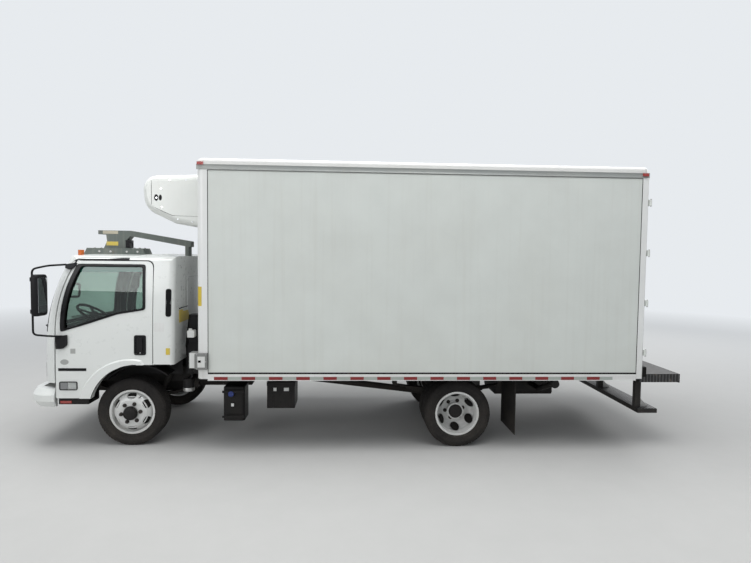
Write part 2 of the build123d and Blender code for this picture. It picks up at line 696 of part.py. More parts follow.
# Cab: one outer form and one inner form, lofted through four plan sections
cab_sections = (
    # height, half width, side start x, corner x, corner y, nose x
    (cab_bottom - 25, cab_half_width, -760, -965, 850, -1085),
    (belt_height, cab_half_width, -760, -965, 850, -1080),
    (1800, 1008, -660, -880, 830, -985),
    (cab_roof_top + 76, 952, -400, -640, 780, -740),
)
cab_corner = 60


def cab_form(inset, top, bottom):
    """The cab's closed outer form, drawn in by an inset and cut at a top and a bottom."""
    with BuildPart() as form:
        for z, half_width, side_x, corner_x, corner_y, nose_x in cab_sections:
            half = half_width - inset
            corner = (axle_front + corner_x + inset, corner_y - 0.6 * inset)
            start = (axle_front + side_x, half)
            back = cab_back - inset
            bend = max(cab_corner - inset, 12)
            middle = ((corner[0] + start[0]) / 2 - 0.2 * (half - corner[1]),
                      (corner[1] + half) / 2 + 0.2 * (start[0] - corner[0]))
            with BuildSketch(Plane.XY.offset(z)):
                with BuildLine():
                    ThreePointArc((corner[0], -corner[1]), (axle_front + nose_x + inset, 0), corner)
                    ThreePointArc(corner, middle, start)
                    Line(start, (back - bend, half))
                    RadiusArc((back - bend, half), (back, half - bend), bend)
                    Line((back, half - bend), (back, bend - half))
                    RadiusArc((back, bend - half), (back - bend, -half), bend)
                    Line((back - bend, -half), (start[0], -start[1]))
                    ThreePointArc((start[0], -start[1]), (middle[0], -middle[1]), (corner[0], -corner[1]))
                make_face()
        loft(ruled=False)
        # roof crown with its rounded shoulders across the cab, and its brow along it
        edge = roof_edge_y - inset
        shoulder = top - roof_bow
        with BuildSketch(cross_plane(cab_back + 50)):
            with BuildLine():
                crown = ThreePointArc((-edge, shoulder), (0, top), (edge, shoulder))
                right = ThreePointArc(crown @ 1, (edge + 54, shoulder - 26), (edge + 82, shoulder - 84))
                left = ThreePointArc(crown @ 0, (-edge - 54, shoulder - 26), (-edge - 82, shoulder - 84))
                Polyline(right @ 1, (1100, shoulder - 400), (1100, bottom), (-1100, bottom),
                         (-1100, shoulder - 400), left @ 1)
            make_face()
        extrude(amount=-(cab_back - axle_front + 1300), mode=Mode.INTERSECT)
        with BuildSketch(profile_plane(0)):
            with BuildLine():
                brow = ThreePointArc((axle_front - 806, top - 104), (axle_front - 660, top - 22),
                                     (axle_front - 480, top))
                Polyline(brow @ 1, (axle_front + 330, top), (cab_back + 10 - inset, top - 20),
                         (cab_back + 10 - inset, bottom),
                         (axle_front - 1200, bottom), (axle_front - 1200, top - 430), brow @ 0)
            make_face()
        extrude(amount=1200, both=True, mode=Mode.INTERSECT)
    return form.part


def door_face(grow):
    """The cab door's face in profile, grown by a gap."""
    reach = arch_radius - grow
    foot = cab_bottom - grow
    foot_x = arch_centre_x - math.sqrt(reach ** 2 - (foot - arch_centre_z) ** 2)
    slant = reach * math.sqrt(0.5)
    with BuildSketch(profile_plane(0)) as face:
        with BuildLine():
            front = Line((axle_front - 800 - grow, foot), (axle_front - 796 - grow, belt_height))
            lean = ThreePointArc(front @ 1, (axle_front - 742 - grow, 1760),
                                 (axle_front - 566 - grow, door_top + grow))
            Line(lean @ 1, (door_back - door_corner, door_top + grow))
            RadiusArc((door_back - door_corner, door_top + grow),
                      (door_back + grow, door_top - door_corner), door_corner + grow)
            Polyline((door_back + grow, door_top - door_corner), (door_back + grow, cab_skirt - grow),
                     (arch_centre_x, cab_skirt - grow), (arch_centre_x, arch_centre_z + reach))
            ThreePointArc((arch_centre_x, arch_centre_z + reach),
                          (arch_centre_x - slant, arch_centre_z + slant),
                          (foot_x, foot))
            Line((foot_x, foot), front @ 0)
        make_face()
    return face.sketch


def window_face(shrink):
    """The side window's opening in profile."""
    with BuildSketch(profile_plane(0)) as face:
        with BuildLine():
            lean = ThreePointArc((axle_front - 705, 1366), (axle_front - 672, 1700), (axle_front - 520, 2096))
            Polyline(lean @ 1, (axle_front + 166, 2096), (axle_front + 176, 1612), (axle_front - 110, 1566),
                     lean @ 0)
        make_face()
        fillet(face.vertices(), 26)
        if shrink:
            offset(amount=-shrink, mode=Mode.REPLACE)
    return face.sketch


def front_face(rows):
    """A symmetric face across the truck from rows of half width and height."""
    with BuildSketch(cross_plane(axle_front - 1200)) as face:
        with BuildLine():
            Polyline([(half, z) for half, z in rows] + [(-half, z) for half, z in reversed(rows)], close=True)
        make_face()
    return face.sketch


def through_side(sketch, side):
    """A profile carried out through one side of the cab."""
    return extrude(sketch, amount=1300, dir=(0, side, 0), mode=Mode.PRIVATE)


def through_front(sketch, reach):
    """A face across the truck carried back from ahead of the cab."""
    return extrude(sketch, amount=reach, dir=(1, 0, 0), mode=Mode.PRIVATE)


def roof_lip(gap):
    """The space under the roof's shoulders that the doors' top edges stay out of, drawn in by a gap."""
    with BuildPart(mode=Mode.PRIVATE) as lip:
        block(axle_front - 900, door_back + 100, gap - door_lip_y, door_lip_y - gap, door_lip_z - gap,
              cab_roof_top)
    return lip.part


outer_form = cab_form(0, cab_roof_top, cab_bottom)
inner_form = cab_form(cab_wall, cab_roof_top - cab_wall, cab_bottom - 5)
shell_form = outer_form - inner_form
skin_form = outer_form - cab_form(26, cab_roof_top - 26, cab_bottom - 5)
screen_form = cab_form(9, cab_roof_top - 9, cab_bottom - 5) - cab_form(15, cab_roof_top - 15, cab_bottom - 6)
side_glass_form = (cab_form(22, cab_roof_top - 22, cab_bottom - 5)
                   - cab_form(28, cab_roof_top - 28, cab_bottom - 6))

screen_rows = [(905, 1338), (786, 2092)]
rear_window_rows = [(470, 1500), (470, 1960)]
screen_hole = through_front(front_face(screen_rows), 700)
with BuildPart(mode=Mode.PRIVATE) as rear_hole:
    block(cab_back - 200, cab_back + 100, -470, 470, 1500, 1960)
    block(cab_back - 200, cab_back + 100, -cover_y, cover_y, cab_skirt - 100, cover_z + panel)
nose_back = axle_front - 800 - door_front_gap
with BuildPart(mode=Mode.PRIVATE) as nose_zone:
    block(axle_front - 1200, nose_back, -1200, 1200, 500, 1318)
with BuildPart(mode=Mode.PRIVATE) as bumper_zone:
    block(axle_front - 1200, nose_back, -1200, 1200, 500, 760)
with BuildPart(mode=Mode.PRIVATE) as skirt_zone:
    block(nose_back, cab_back + 100, -1200, 1200, 500, cab_skirt)
with BuildPart(mode=Mode.PRIVATE) as firewall_zone:
    block(axle_front - 1200, nose_back, -1200, 1200, firewall_bottom, 1318)

# Cab shell: pillars, roof, rear quarters and back wall, open at the doors, screen and rear window.
# Behind the front panel it is a firewall, which carries the doors' hinges.
holes = screen_hole + rear_hole.part + nose_zone.part + skirt_zone.part
for side in (-1, 1):
    hole = through_side(door_face(door_gap), side) - roof_lip(door_gap)
    holes += hole + hole.moved(Location((door_gap - door_front_gap, 0, 0)))
firewall_form = cab_form(panel + 6, cab_roof_top - panel - 6, cab_bottom - 5) - inner_form
with BuildPart() as cab_shell:
    add(shell_form - holes)
    add(firewall_form & firewall_zone.part)
    for side in (-1, 1):
        for z in door_hinges:
            low, high = z - door_hinge_height / 2, z + door_hinge_height / 2
            block(nose_back - 50, door_axis_x + 4, side * 955, side * 969, low, high)
            block(door_axis_x - 4, door_axis_x + 4, side * 955, side * door_axis_y, low, high)
            rod((door_axis_x, side * door_axis_y, low - 24), (door_axis_x, side * door_axis_y, high + 24),
                door_pin_radius)
finish(cab_shell, "cab_shell")

# Front panel below the screen, with its headlamps and grille let in
lamp_rows = ((610, 905), (805, 972))
grille_rows = [(520, 812), (560, 1004)]
with BuildPart(mode=Mode.PRIVATE) as lamp_zone:
    for side in (-1, 1):
        block(axle_front - 1200, axle_front - 700, side * lamp_rows[0][0], side * lamp_rows[0][1],
              *lamp_rows[1])
grille_hole = through_front(front_face(grille_rows), 400)
with BuildPart() as front_panel:
    add((skin_form & nose_zone.part) - bumper_zone.part - lamp_zone.part - grille_hole)
finish(front_panel, "front_panel")

with BuildPart() as headlamps:
    add(skin_form & lamp_zone.part)
finish(headlamps, "headlamps")

grille_bars = 5
with BuildPart() as grille:
    with BuildPart(mode=Mode.PRIVATE) as bars:
        for number in range(grille_bars):
            z = 820 + number * 38
            block(axle_front - 1200, axle_front - 900, -518, 518, z, z + 22)
        for y in (-300, 0, 300):
            block(axle_front - 1200, axle_front - 900, y - 7, y + 7, 820, 994)
    add(screen_form & bars.part)
finish(grille, "grille")

# Glass of the windscreen and the rear window
with BuildPart() as cab_glass:
    glass_rows = [(half - 2, z + (2 if z < 1500 else -2)) for half, z in screen_rows]
    add(screen_form & through_front(front_face(glass_rows), 700))
    block(cab_back - 30, cab_back - 24, -468, 468, 1502, 1958)
finish(cab_glass, "cab_glass")

def off_arch(point):
    """How far a point lies outside the wheel arch, seen from the side."""
    return math.dist((point.X, point.Z), (arch_centre_x, arch_centre_z)) - arch_radius


# Doors with their flared arches, windows and glass
for side, hand in ((-1, "left"), (1, "right")):
    slab = (shell_form & through_side(door_face(0), side)) - roof_lip(0)
    with BuildPart(mode=Mode.PRIVATE) as flare:
        with BuildSketch(profile_plane(side * (cab_half_width - 12))) as flare_face:
            with BuildLine():
                ThreePointArc((axle_front - 546, cab_bottom), (axle_front - 366, 886),
                              (axle_front + 150, 1026))
                Line((axle_front + 150, 1026), (axle_front + 190, cab_skirt))
                Line((axle_front + 190, cab_skirt), (arch_centre_x, cab_skirt))
                Line((arch_centre_x, cab_skirt), (arch_centre_x, arch_centre_z + arch_radius))
                slant = arch_radius * math.sqrt(0.5)
                foot_x = arch_centre_x - math.sqrt(arch_radius ** 2 - (cab_bottom - arch_centre_z) ** 2)
                ThreePointArc((arch_centre_x, arch_centre_z + arch_radius),
                              (arch_centre_x - slant, arch_centre_z + slant), (foot_x, cab_bottom))
                Line((foot_x, cab_bottom), (axle_front - 546, cab_bottom))
            make_face()
        extrude(flare_face.sketch, amount=12 + flare_height, dir=(0, side, 0))
        outer_face = flare.faces().sort_by(Axis.Y)[0 if side < 0 else -1]
        crest = outer_face.edges().filter_by(
            lambda edge: edge.center().Z > cab_bottom + 5 and off_arch(edge.center()) > 20)
        chamfer(crest, flare_height - 6)
    with BuildPart() as door:
        add(slab - through_side(window_face(0), side))
        add(flare.part)
        # notches let the hinge leaves in, and the pins run in bores above and below them
        for z in door_hinges:
            low, high = z - door_hinge_height / 2, z + door_hinge_height / 2
            block(door_axis_x - 30, door_axis_x + 14, side * 900, side * (door_axis_y + 6), low - 6, high + 6,
                  Mode.SUBTRACT)
            rod((door_axis_x, side * door_axis_y, low - 26), (door_axis_x, side * door_axis_y, high + 26),
                door_pin_radius + fit_gap, Mode.SUBTRACT)
    finish(door, f"door_{hand}")
    with BuildPart() as door_glass:
        add(side_glass_form & through_side(window_face(2), side))
    finish(door_glass, f"door_glass_{hand}")

# Mirrors on the doors: a tube stay with a main head
for side, hand in ((-1, "left"), (1, "right")):
    stay_x = axle_front - 912
    stay_y = side * 1250
    with BuildPart() as mirror:
        corners = ((axle_front - 700, side * (cab_half_width + 6), 1300), (stay_x, stay_y, 1345),
                   (stay_x, stay_y, 2062), (axle_front - 660, side * (cab_half_width - 28), 2094))
        for start, stop in zip(corners, corners[1:]):
            rod(start, stop, 11)
        for corner in corners[1:3]:
            with Locations(corner):
                Sphere(11)
        block(axle_front - 785, axle_front - 664, side * (cab_half_width - 4), side * (cab_half_width + 34),
              1160, 1318)
        block(axle_front - 752, axle_front - 560, side * 990, side * 1022, 2074, 2112)
        with BuildSketch(Plane(origin=(stay_x + 54, side * 1242, 1550), x_dir=(1, side * 0.3, 0))) as head:
            RectangleRounded(92, 176, 26)
        extrude(head.sketch, amount=452)
        add(outer_form, mode=Mode.SUBTRACT)
    finish(mirror, f"mirror_{hand}")

# Cab floor: footwell, riser, raised floor over the arches, engine cover, arch liners and steps
cabin_form = cab_form(cab_wall + 2, cab_roof_top - cab_wall - 2, cab_bottom - 8)
with BuildPart() as cab_floor:
    block(axle_front - 1040, axle_front - 430, -cabin_half_width, cabin_half_width,
          footwell_z, footwell_z + panel)
    block(axle_front - 456, axle_front - 430, -cabin_half_width, cabin_half_width,
          footwell_z, floor_z + panel)
    block(axle_front - 456, cab_back, -1100, 1100, floor_z, floor_z + panel)
    block(axle_front - 456, cab_back, -cover_y, cover_y, floor_z, cover_z + panel)
    block(axle_front - 430, cab_back, -cover_y + panel, cover_y - panel, footwell_z - 10, cover_z,
          Mode.SUBTRACT)
    block(axle_front - 460, axle_front - 400, -cover_y + panel, cover_y - panel,
          footwell_z + panel, cover_z, Mode.SUBTRACT)
    block(axle_front - 456, axle_front - 430, -cover_y, cover_y, footwell_z, cover_z + panel)
    add(cabin_form, mode=Mode.INTERSECT)
    for side in (-1, 1):
        block(hinge_x - 18, hinge_x + 18, side * (hinge_y - 22), side * (hinge_y + 22), hinge_z - 18,
              footwell_z + 10)
        block(hinge_x - 18, axle_front - 900, side * (hinge_y - 22), side * (hinge_y + 22),
              footwell_z - 14, footwell_z + 10)
        rod((hinge_x, side * (hinge_y - 42), hinge_z), (hinge_x, side * (hinge_y + 42), hinge_z),
            hinge_pin_radius)
finish(cab_floor, "cab_floor")

step_front = axle_front - 786
step_rear = axle_front - 452
with BuildPart() as cab_steps:
    for side in (-1, 1):
        block(step_front, step_rear, side * 744, side * 1006, 508, 540)
        block(step_front, step_rear, side * 980, side * 1006, 508, cab_bottom - 10)
        block(step_front, step_rear, side * 744, side * 760, 508, footwell_z)
        with BuildSketch(profile_plane(side * 700)) as liner:
            with BuildLine():
                arc = CenterArc((arch_centre_x, arch_centre_z), arch_radius - 22, 50, 88)
                inner_arc = CenterArc((arch_centre_x, arch_centre_z), arch_radius - 34, 50, 88)
                Line(arc @ 0, inner_arc @ 0)
                Line(arc @ 1, inner_arc @ 1)
            make_face()
        extrude(liner.sketch, amount=262, dir=(0, side, 0))
        block(arch_centre_x - 40, arch_centre_x + 40, side * 700, side * 962,
              arch_centre_z + arch_radius - 24, floor_z)
finish(cab_steps, "cab_steps")

# Dashboard with the steering column, seats and steering wheel
column_angle = math.radians(32)
wheel_centre = Vector(axle_front - 590, -520, 1490)
column_dir = Vector(math.sin(column_angle), 0, math.cos(column_angle))
with BuildPart() as dashboard:
    block(axle_front - 1100, axle_front - 700, -cabin_half_width, cabin_half_width, 1130, 1300)
    block(axle_front - 1100, axle_front - 740, -cabin_half_width, cabin_half_width, 1010, 1130)
    add(cabin_form, mode=Mode.INTERSECT)
    foot = wheel_centre - column_dir * 400
    top = wheel_centre - column_dir * 34
    rod(tuple(foot), tuple(top), 34)
finish(dashboard, "dashboard")

steering_radius = 215
with BuildPart() as steering_wheel:
    with Locations(Plane(origin=wheel_centre, z_dir=column_dir)):
        Torus(steering_radius, 15)
        Cylinder(52, 44)
        with PolarLocations(steering_radius / 2 + 10, 4, start_angle=45):
            Box(steering_radius - 30, 26, 14)
finish(steering_wheel, "steering_wheel")

seat_table = (
    # centre y, width
    (-560, 460),
    (590, 600),
)
with BuildPart() as seats:
    for centre_y, width in seat_table:
        block(axle_front - 330, axle_front + 190, centre_y - width / 2, centre_y + width / 2, 1190, 1330)
        with BuildSketch(profile_plane(centre_y)) as back:
            with BuildLine():
                Polyline((axle_front + 130, 1334), (axle_front + 250, 1334), (axle_front + 330, 2010),
                         (axle_front + 250, 2010), close=True)
            make_face()
        extrude(back.sketch, amount=width / 2 - 20, both=True)
        fillet(seats.edges().filter_by(Axis.Y), 24)
finish(seats, "seats")

with BuildPart() as seat_bases:
    for centre_y, width in seat_table:
        block(axle_front - 290, axle_front + 210, centre_y - width / 2 + 40, centre_y + width / 2 - 40,
              floor_z + panel, 1186)
        block(axle_front + 196, axle_front + 230, centre_y - width / 2 + 60, centre_y + width / 2 - 60,
              1186, 1330)
finish(seat_bases, "seat_bases")

# Roof clearance lamps, side lamps in the doors' lower corners and the roof carrier
lamp_rise = 56
with BuildPart() as cab_lamps:
    for y in (-740, -170, 0, 170, 740):
        with BuildSketch(Plane(origin=(axle_front - 640, y, 2100))) as lens:
            SlotOverall(92, 44, rotation=90)
        extrude(lens.sketch, amount=cab_roof_top + lamp_rise - 2100 - roof_bow * (y / 1000) ** 2)
    add(outer_form, mode=Mode.SUBTRACT)
finish(cab_lamps, "cab_lamps")

carrier_y = -350
with BuildPart() as roof_carrier:
    with BuildSketch(profile_plane(carrier_y)) as base:
        Polygon((axle_front - 760, 2180), (axle_front - 700, 2304), (axle_front - 30, 2304),
                (axle_front + 20, 2180), align=None)
    extrude(base.sketch, amount=125, both=True)
    with BuildSketch(profile_plane(carrier_y)) as post:
        Polygon((axle_front - 520, 2302), (axle_front - 480, 2390), (axle_front - 490, 2470),
                (axle_front - 585, 2474), (axle_front - 585, 2522), (axle_front - 200, 2522),
                (axle_front + 540, 2400), (axle_front + 540, 2200), (axle_front + 470, 2200),
                (axle_front + 470, 2338), (axle_front - 200, 2456), (axle_front - 250, 2390),
                (axle_front - 230, 2302), align=None)
    extrude(post.sketch, amount=70, both=True)
    add(outer_form, mode=Mode.SUBTRACT)
    block(cab_back - 4, cab_back + 100, -700, 0, 2100, 2330, Mode.SUBTRACT)
finish(roof_carrier, "roof_carrier")
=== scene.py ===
import math

import bmesh
import bpy
from mathutils import Matrix, Vector, noise
from mathutils.bvhtree import BVHTree


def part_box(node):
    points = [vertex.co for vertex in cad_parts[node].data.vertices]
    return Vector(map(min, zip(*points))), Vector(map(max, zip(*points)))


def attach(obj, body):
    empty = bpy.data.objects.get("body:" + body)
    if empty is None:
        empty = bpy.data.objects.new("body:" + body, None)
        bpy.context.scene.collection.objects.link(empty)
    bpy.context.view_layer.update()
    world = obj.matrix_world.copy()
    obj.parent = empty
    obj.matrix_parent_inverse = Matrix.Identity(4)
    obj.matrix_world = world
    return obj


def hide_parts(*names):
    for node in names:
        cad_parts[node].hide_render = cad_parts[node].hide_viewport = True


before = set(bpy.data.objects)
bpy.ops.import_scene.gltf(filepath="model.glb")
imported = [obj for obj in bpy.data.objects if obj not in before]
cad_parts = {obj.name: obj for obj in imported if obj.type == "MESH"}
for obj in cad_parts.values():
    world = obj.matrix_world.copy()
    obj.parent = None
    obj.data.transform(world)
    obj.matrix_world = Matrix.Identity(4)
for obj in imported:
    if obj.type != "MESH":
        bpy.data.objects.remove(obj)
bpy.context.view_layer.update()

# Places read from the frame, in metres. The front is -X, the driver's side is -Y, the ground is Z = 0.
SIDES = ((-1, "left"), (1, "right"))
FRONT_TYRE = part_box("tyre_front_left")
REAR_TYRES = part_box("tyres_rear_left")
BOX_FRONT, BOX_BACK = (corner.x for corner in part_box("box_roof"))
BOX_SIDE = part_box("box_roof")[1].y
RAIL_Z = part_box("box_roof")[0].z
WALL_LOW, WALL_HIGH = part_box("box_wall_right")
DECK_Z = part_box("box_floor")[1].z
BOX_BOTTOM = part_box("box_floor")[0].z
CAB_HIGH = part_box("cab_shell")[1]
FRAME_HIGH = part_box("frame")[1]
TYRE_RADIUS = (FRONT_TYRE[1].z - FRONT_TYRE[0].z) / 2
AXLE_Z = (FRONT_TYRE[1].z + FRONT_TYRE[0].z) / 2
AX = (FRONT_TYRE[0].x + FRONT_TYRE[1].x) / 2
REAR_X = (REAR_TYRES[0].x + REAR_TYRES[1].x) / 2
CAB_BACK = CAB_HIGH.x

# The camera that took the photograph, fitted to the wheels, the box and the rails
FRAME_WIDTH = 751
FOCAL_PIXELS = 534.5
CAMERA_PLACE = Vector((AX + 2.489, -7.226, 2.264))
CAMERA_YAW = -0.0539
CAMERA_PITCH = -0.0505
CAMERA_ROLL = 0.0121

# The studio
BACKDROP = (0.80, 0.83, 0.86, 1)
AMBIENT = (0.93, 0.96, 1.0, 1)
AMBIENT_STRENGTH = 0.52
FLOOR_GREY = (0.44, 0.44, 0.43)
FLOOR_REACH = 60
FLOOR_FADE = (4.5, 20.0)
LAMPS = (
    # name, place, aim, size, watts
    ("lamp_over", (-1, -1.5, 9), (0, 0.3, 1), (12, 6), 1000),
    ("lamp_front_left", (-8, -10, 5), (-1, 0, 1.5), (6, 5), 330),
    ("lamp_back_right", (9, 8, 6), (1, 0, 1.6), (7, 5), 380),
)


# Camera, lamps and floor
def add_object(name, data):
    made = bpy.data.objects.new(name, data)
    bpy.context.scene.collection.objects.link(made)
    return made


def evaluated_mesh(host):
    """A new mesh, as an object's modifiers make it."""
    bpy.context.view_layer.update()
    return bpy.data.meshes.new_from_object(host.evaluated_get(bpy.context.evaluated_depsgraph_get()))


def make_camera():
    data = bpy.data.cameras.new("photo_camera")
    camera = add_object("photo_camera", data)
    data.sensor_width = 36
    data.lens = FOCAL_PIXELS * data.sensor_width / FRAME_WIDTH
    data.clip_end = 200
    turn = Matrix.Rotation(CAMERA_YAW, 4, "Z") @ Matrix.Rotation(math.radians(90) + CAMERA_PITCH, 4, "X")
    camera.matrix_world = Matrix.Translation(CAMERA_PLACE) @ turn @ Matrix.Rotation(CAMERA_ROLL, 4, "Z")
    bpy.context.scene.camera = camera


def make_lamps():
    for name, place, aim, size, watts in LAMPS:
        data = bpy.data.lights.new(name, "AREA")
        data.shape = "RECTANGLE"
        data.size, data.size_y = size
        data.energy = watts
        lamp = add_object(name, data)
        lamp.location = place
        lamp.rotation_euler = (Vector(aim) - Vector(place)).to_track_quat("-Z", "Y").to_euler()


def seen_by_eye(tree):
    """1 for a ray that the camera follows: straight, mirrored or through glass."""
    path = tree.nodes.new("ShaderNodeLightPath")
    seen = path.outputs["Is Camera Ray"]
    for ray in ("Is Glossy Ray", "Is Transmission Ray"):
        seen = add_node(tree, "ShaderNodeMath", {0: seen, 1: path.outputs[ray]}, operation="MAXIMUM").outputs[0]
    return seen


def make_world():
    """Even light from all round, with the pale backdrop where the camera sees past the truck."""
    world = bpy.data.worlds.new("studio")
    bpy.context.scene.world = world
    world.use_nodes = True
    tree = world.node_tree
    tree.nodes.clear()
    ambient = add_node(tree, "ShaderNodeBackground", {"Color": AMBIENT, "Strength": AMBIENT_STRENGTH})
    backdrop = add_node(tree, "ShaderNodeBackground", {"Color": BACKDROP, "Strength": 1.0})
    mixed = add_node(tree, "ShaderNodeMixShader",
                     {0: seen_by_eye(tree), 1: ambient.outputs[0], 2: backdrop.outputs[0]})
    add_node(tree, "ShaderNodeOutputWorld", {"Surface": mixed.outputs[0]})


def make_floor():
    """A pale floor that fades into the backdrop well away from the truck."""
    form = Form()
    form.box((-FLOOR_REACH, -FLOOR_REACH, -0.04), (FLOOR_REACH, FLOOR_REACH, -0.0005))
    material = paint("floor_grey", "", FLOOR_GREY, 0.80, vary=0.015)
    tree = material.node_tree
    near = tree.nodes["Principled BSDF"].outputs[0]
    distance = add_node(tree, "ShaderNodeVectorMath", {0: object_place(tree)}, operation="LENGTH").outputs["Value"]
    share = times(tree, ramp(tree, distance, *FLOOR_FADE), seen_by_eye(tree))
    far = add_node(tree, "ShaderNodeEmission", {"Color": BACKDROP, "Strength": 1.0}).outputs[0]
    mixed = add_node(tree, "ShaderNodeMixShader", {0: share, 1: near, 2: far}).outputs[0]
    fill(tree, tree.nodes["Material Output"], {"Surface": mixed})
    add_object("studio_floor", form.mesh("studio_floor", [material]))


# Shader and geometry trees
def fill(tree, node, inputs):
    """Links each of a node's inputs to a socket, or sets it to a value."""
    for key, value in inputs.items():
        if isinstance(value, bpy.types.NodeSocket):
            tree.links.new(value, node.inputs[key])
        else:
            node.inputs[key].default_value = value


def add_node(tree, kind, inputs=None, **settings):
    made = tree.nodes.new(kind)
    for name, value in settings.items():
        setattr(made, name, value)
    fill(tree, made, inputs or {})
    return made


def maths(tree, operation, first, second=0.0, clamp=False):
    return add_node(tree, "ShaderNodeMath", {0: first, 1: second}, operation=operation, use_clamp=clamp).outputs[0]


def times(tree, first, second, clamp=False):
    return maths(tree, "MULTIPLY", first, second, clamp)


def plus(tree, first, second, clamp=False):
    return maths(tree, "ADD", first, second, clamp)


def mix_colour(tree, share, first, second):
    return add_node(tree, "ShaderNodeMix", {0: share, 6: first, 7: second}, data_type="RGBA").outputs[2]


def object_place(tree):
    return tree.nodes.new("ShaderNodeTexCoord").outputs["Object"]


def place_parts(tree):
    return add_node(tree, "ShaderNodeSeparateXYZ", {0: object_place(tree)}).outputs


def ramp(tree, value, low, high, start=0.0, stop=1.0):
    made = add_node(tree, "ShaderNodeMapRange", {0: value, 1: low, 2: high, 3: start, 4: stop}, clamp=True)
    return made.outputs[0]


def cloud(tree, place, scale, detail=4.0, roughness=0.55):
    made = add_node(tree, "ShaderNodeTexNoise",
                    {"Vector": place, "Scale": scale, "Detail": detail, "Roughness": roughness})
    return made.outputs[0]


def stretch(tree, place, scale):
    return add_node(tree, "ShaderNodeMapping", {"Vector": place, "Scale": scale}).outputs[0]


def shader_group(name, inputs, outputs):
    """An empty shader group with named sockets, its starting sockets and its ending ones."""
    tree = bpy.data.node_groups.new(name, "ShaderNodeTree")
    for label, kind, value in inputs:
        tree.interface.new_socket(label, in_out="INPUT", socket_type=kind).default_value = value
    for label, kind in outputs:
        tree.interface.new_socket(label, in_out="OUTPUT", socket_type=kind)
    return tree, tree.nodes.new("NodeGroupInput").outputs, tree.nodes.new("NodeGroupOutput"), object_place(tree)


FLOAT = "NodeSocketFloat"
COLOUR = "NodeSocketColor"
VECTOR = "NodeSocketVector"


def build_road_film():
    """Dust thrown up from the road: thick near the ground, thin and patchy higher up."""
    tree, given, result, place = shader_group(
        "road_film",
        (("Colour", COLOUR, (1, 1, 1, 1)), ("Roughness", FLOAT, 0.4), ("Dust", COLOUR, (0.30, 0.26, 0.21, 1)),
         ("Amount", FLOAT, 0.5), ("Height", FLOAT, 1.2)),
        (("Colour", COLOUR), ("Roughness", FLOAT)))
    height = add_node(tree, "ShaderNodeSeparateXYZ", {0: place}).outputs[2]
    fade = ramp(tree, maths(tree, "DIVIDE", height, given["Height"]), 1.0, 0.0)
    patches = ramp(tree, cloud(tree, place, 5.0, 7.0, 0.62), 0.34, 0.72)
    specks = ramp(tree, cloud(tree, place, 70.0, 3.0), 0.45, 0.75)
    body = times(tree, plus(tree, times(tree, patches, 0.75), 0.25), fade)
    spots = times(tree, specks, times(tree, fade, 0.5))
    mask = times(tree, plus(tree, body, spots), given["Amount"], clamp=True)
    fill(tree, result, {"Colour": mix_colour(tree, mask, given["Colour"], given["Dust"]),
                        "Roughness": plus(tree, given["Roughness"], times(tree, mask, 0.5), clamp=True)})
    return tree


def build_rain_marks():
    """Faint upright runs left by rain, and broad patches where the finish has gone off-white."""
    tree, given, result, place = shader_group(
        "rain_marks",
        (("Colour", COLOUR, (1, 1, 1, 1)), ("Stain", COLOUR, (0.42, 0.40, 0.34, 1)), ("Amount", FLOAT, 0.2)),
        (("Colour", COLOUR), ("Mask", FLOAT)))
    runs = ramp(tree, cloud(tree, stretch(tree, place, (22, 22, 0.55)), 1.0, 5.0, 0.6), 0.52, 0.78)
    patches = ramp(tree, cloud(tree, place, 0.9, 6.0), 0.42, 0.72)
    marks = plus(tree, times(tree, runs, 0.6), times(tree, patches, 0.5))
    mask = times(tree, marks, given["Amount"], clamp=True)
    fill(tree, result, {"Colour": mix_colour(tree, mask, given["Colour"], given["Stain"]), "Mask": mask})
    return tree


def build_moulded_grain():
    """The pebbled face of moulded plastic or rubber, as a normal."""
    tree, given, result, place = shader_group(
        "moulded_grain", (("Scale", FLOAT, 400.0), ("Strength", FLOAT, 0.2)), (("Normal", VECTOR),))
    pebbles = add_node(tree, "ShaderNodeTexVoronoi", {"Vector": place, "Scale": given["Scale"]}).outputs[0]
    height = plus(tree, pebbles, times(tree, cloud(tree, place, 90.0, 3.0), 0.6))
    bump = add_node(tree, "ShaderNodeBump", {"Height": height, "Strength": given["Strength"], "Distance": 0.002})
    fill(tree, result, {"Normal": bump.outputs[0]})
    return tree


def build_chips():
    """Scattered chips and scuffs through a paint film, with rust or metal in them."""
    tree, given, result, place = shader_group(
        "chips",
        (("Colour", COLOUR, (0, 0, 0, 1)), ("Under", COLOUR, (0.16, 0.07, 0.035, 1)), ("Amount", FLOAT, 0.3)),
        (("Colour", COLOUR), ("Mask", FLOAT)))
    large = ramp(tree, cloud(tree, place, 13.0, 8.0, 0.68), 0.60, 0.68)
    fine = ramp(tree, cloud(tree, place, 160.0, 4.0, 0.7), 0.62, 0.70)
    mask = times(tree, maths(tree, "MAXIMUM", large, times(tree, fine, 0.7)), given["Amount"], clamp=True)
    fill(tree, result, {"Colour": mix_colour(tree, mask, given["Colour"], given["Under"]), "Mask": mask})
    return tree


def build_weave():
    """Plain woven cloth: warp over weft in two tones, with its height."""
    tree, given, result, place = shader_group(
        "weave",
        (("Colour", COLOUR, (0.1, 0.1, 0.1, 1)), ("Second", COLOUR, (0.2, 0.2, 0.2, 1)), ("Pitch", FLOAT, 900.0)),
        (("Colour", COLOUR), ("Height", FLOAT)))
    parts = add_node(tree, "ShaderNodeSeparateXYZ", {0: place}).outputs
    warp, weft = (maths(tree, "SINE", times(tree, along, given["Pitch"]))
                  for along in (plus(tree, parts[0], parts[2]), parts[1]))
    height = times(tree, warp, weft)
    share = ramp(tree, plus(tree, height, times(tree, cloud(tree, place, 30.0), 0.6)), -0.6, 1.2)
    fill(tree, result, {"Colour": mix_colour(tree, share, given["Colour"], given["Second"]), "Height": height})
    return tree


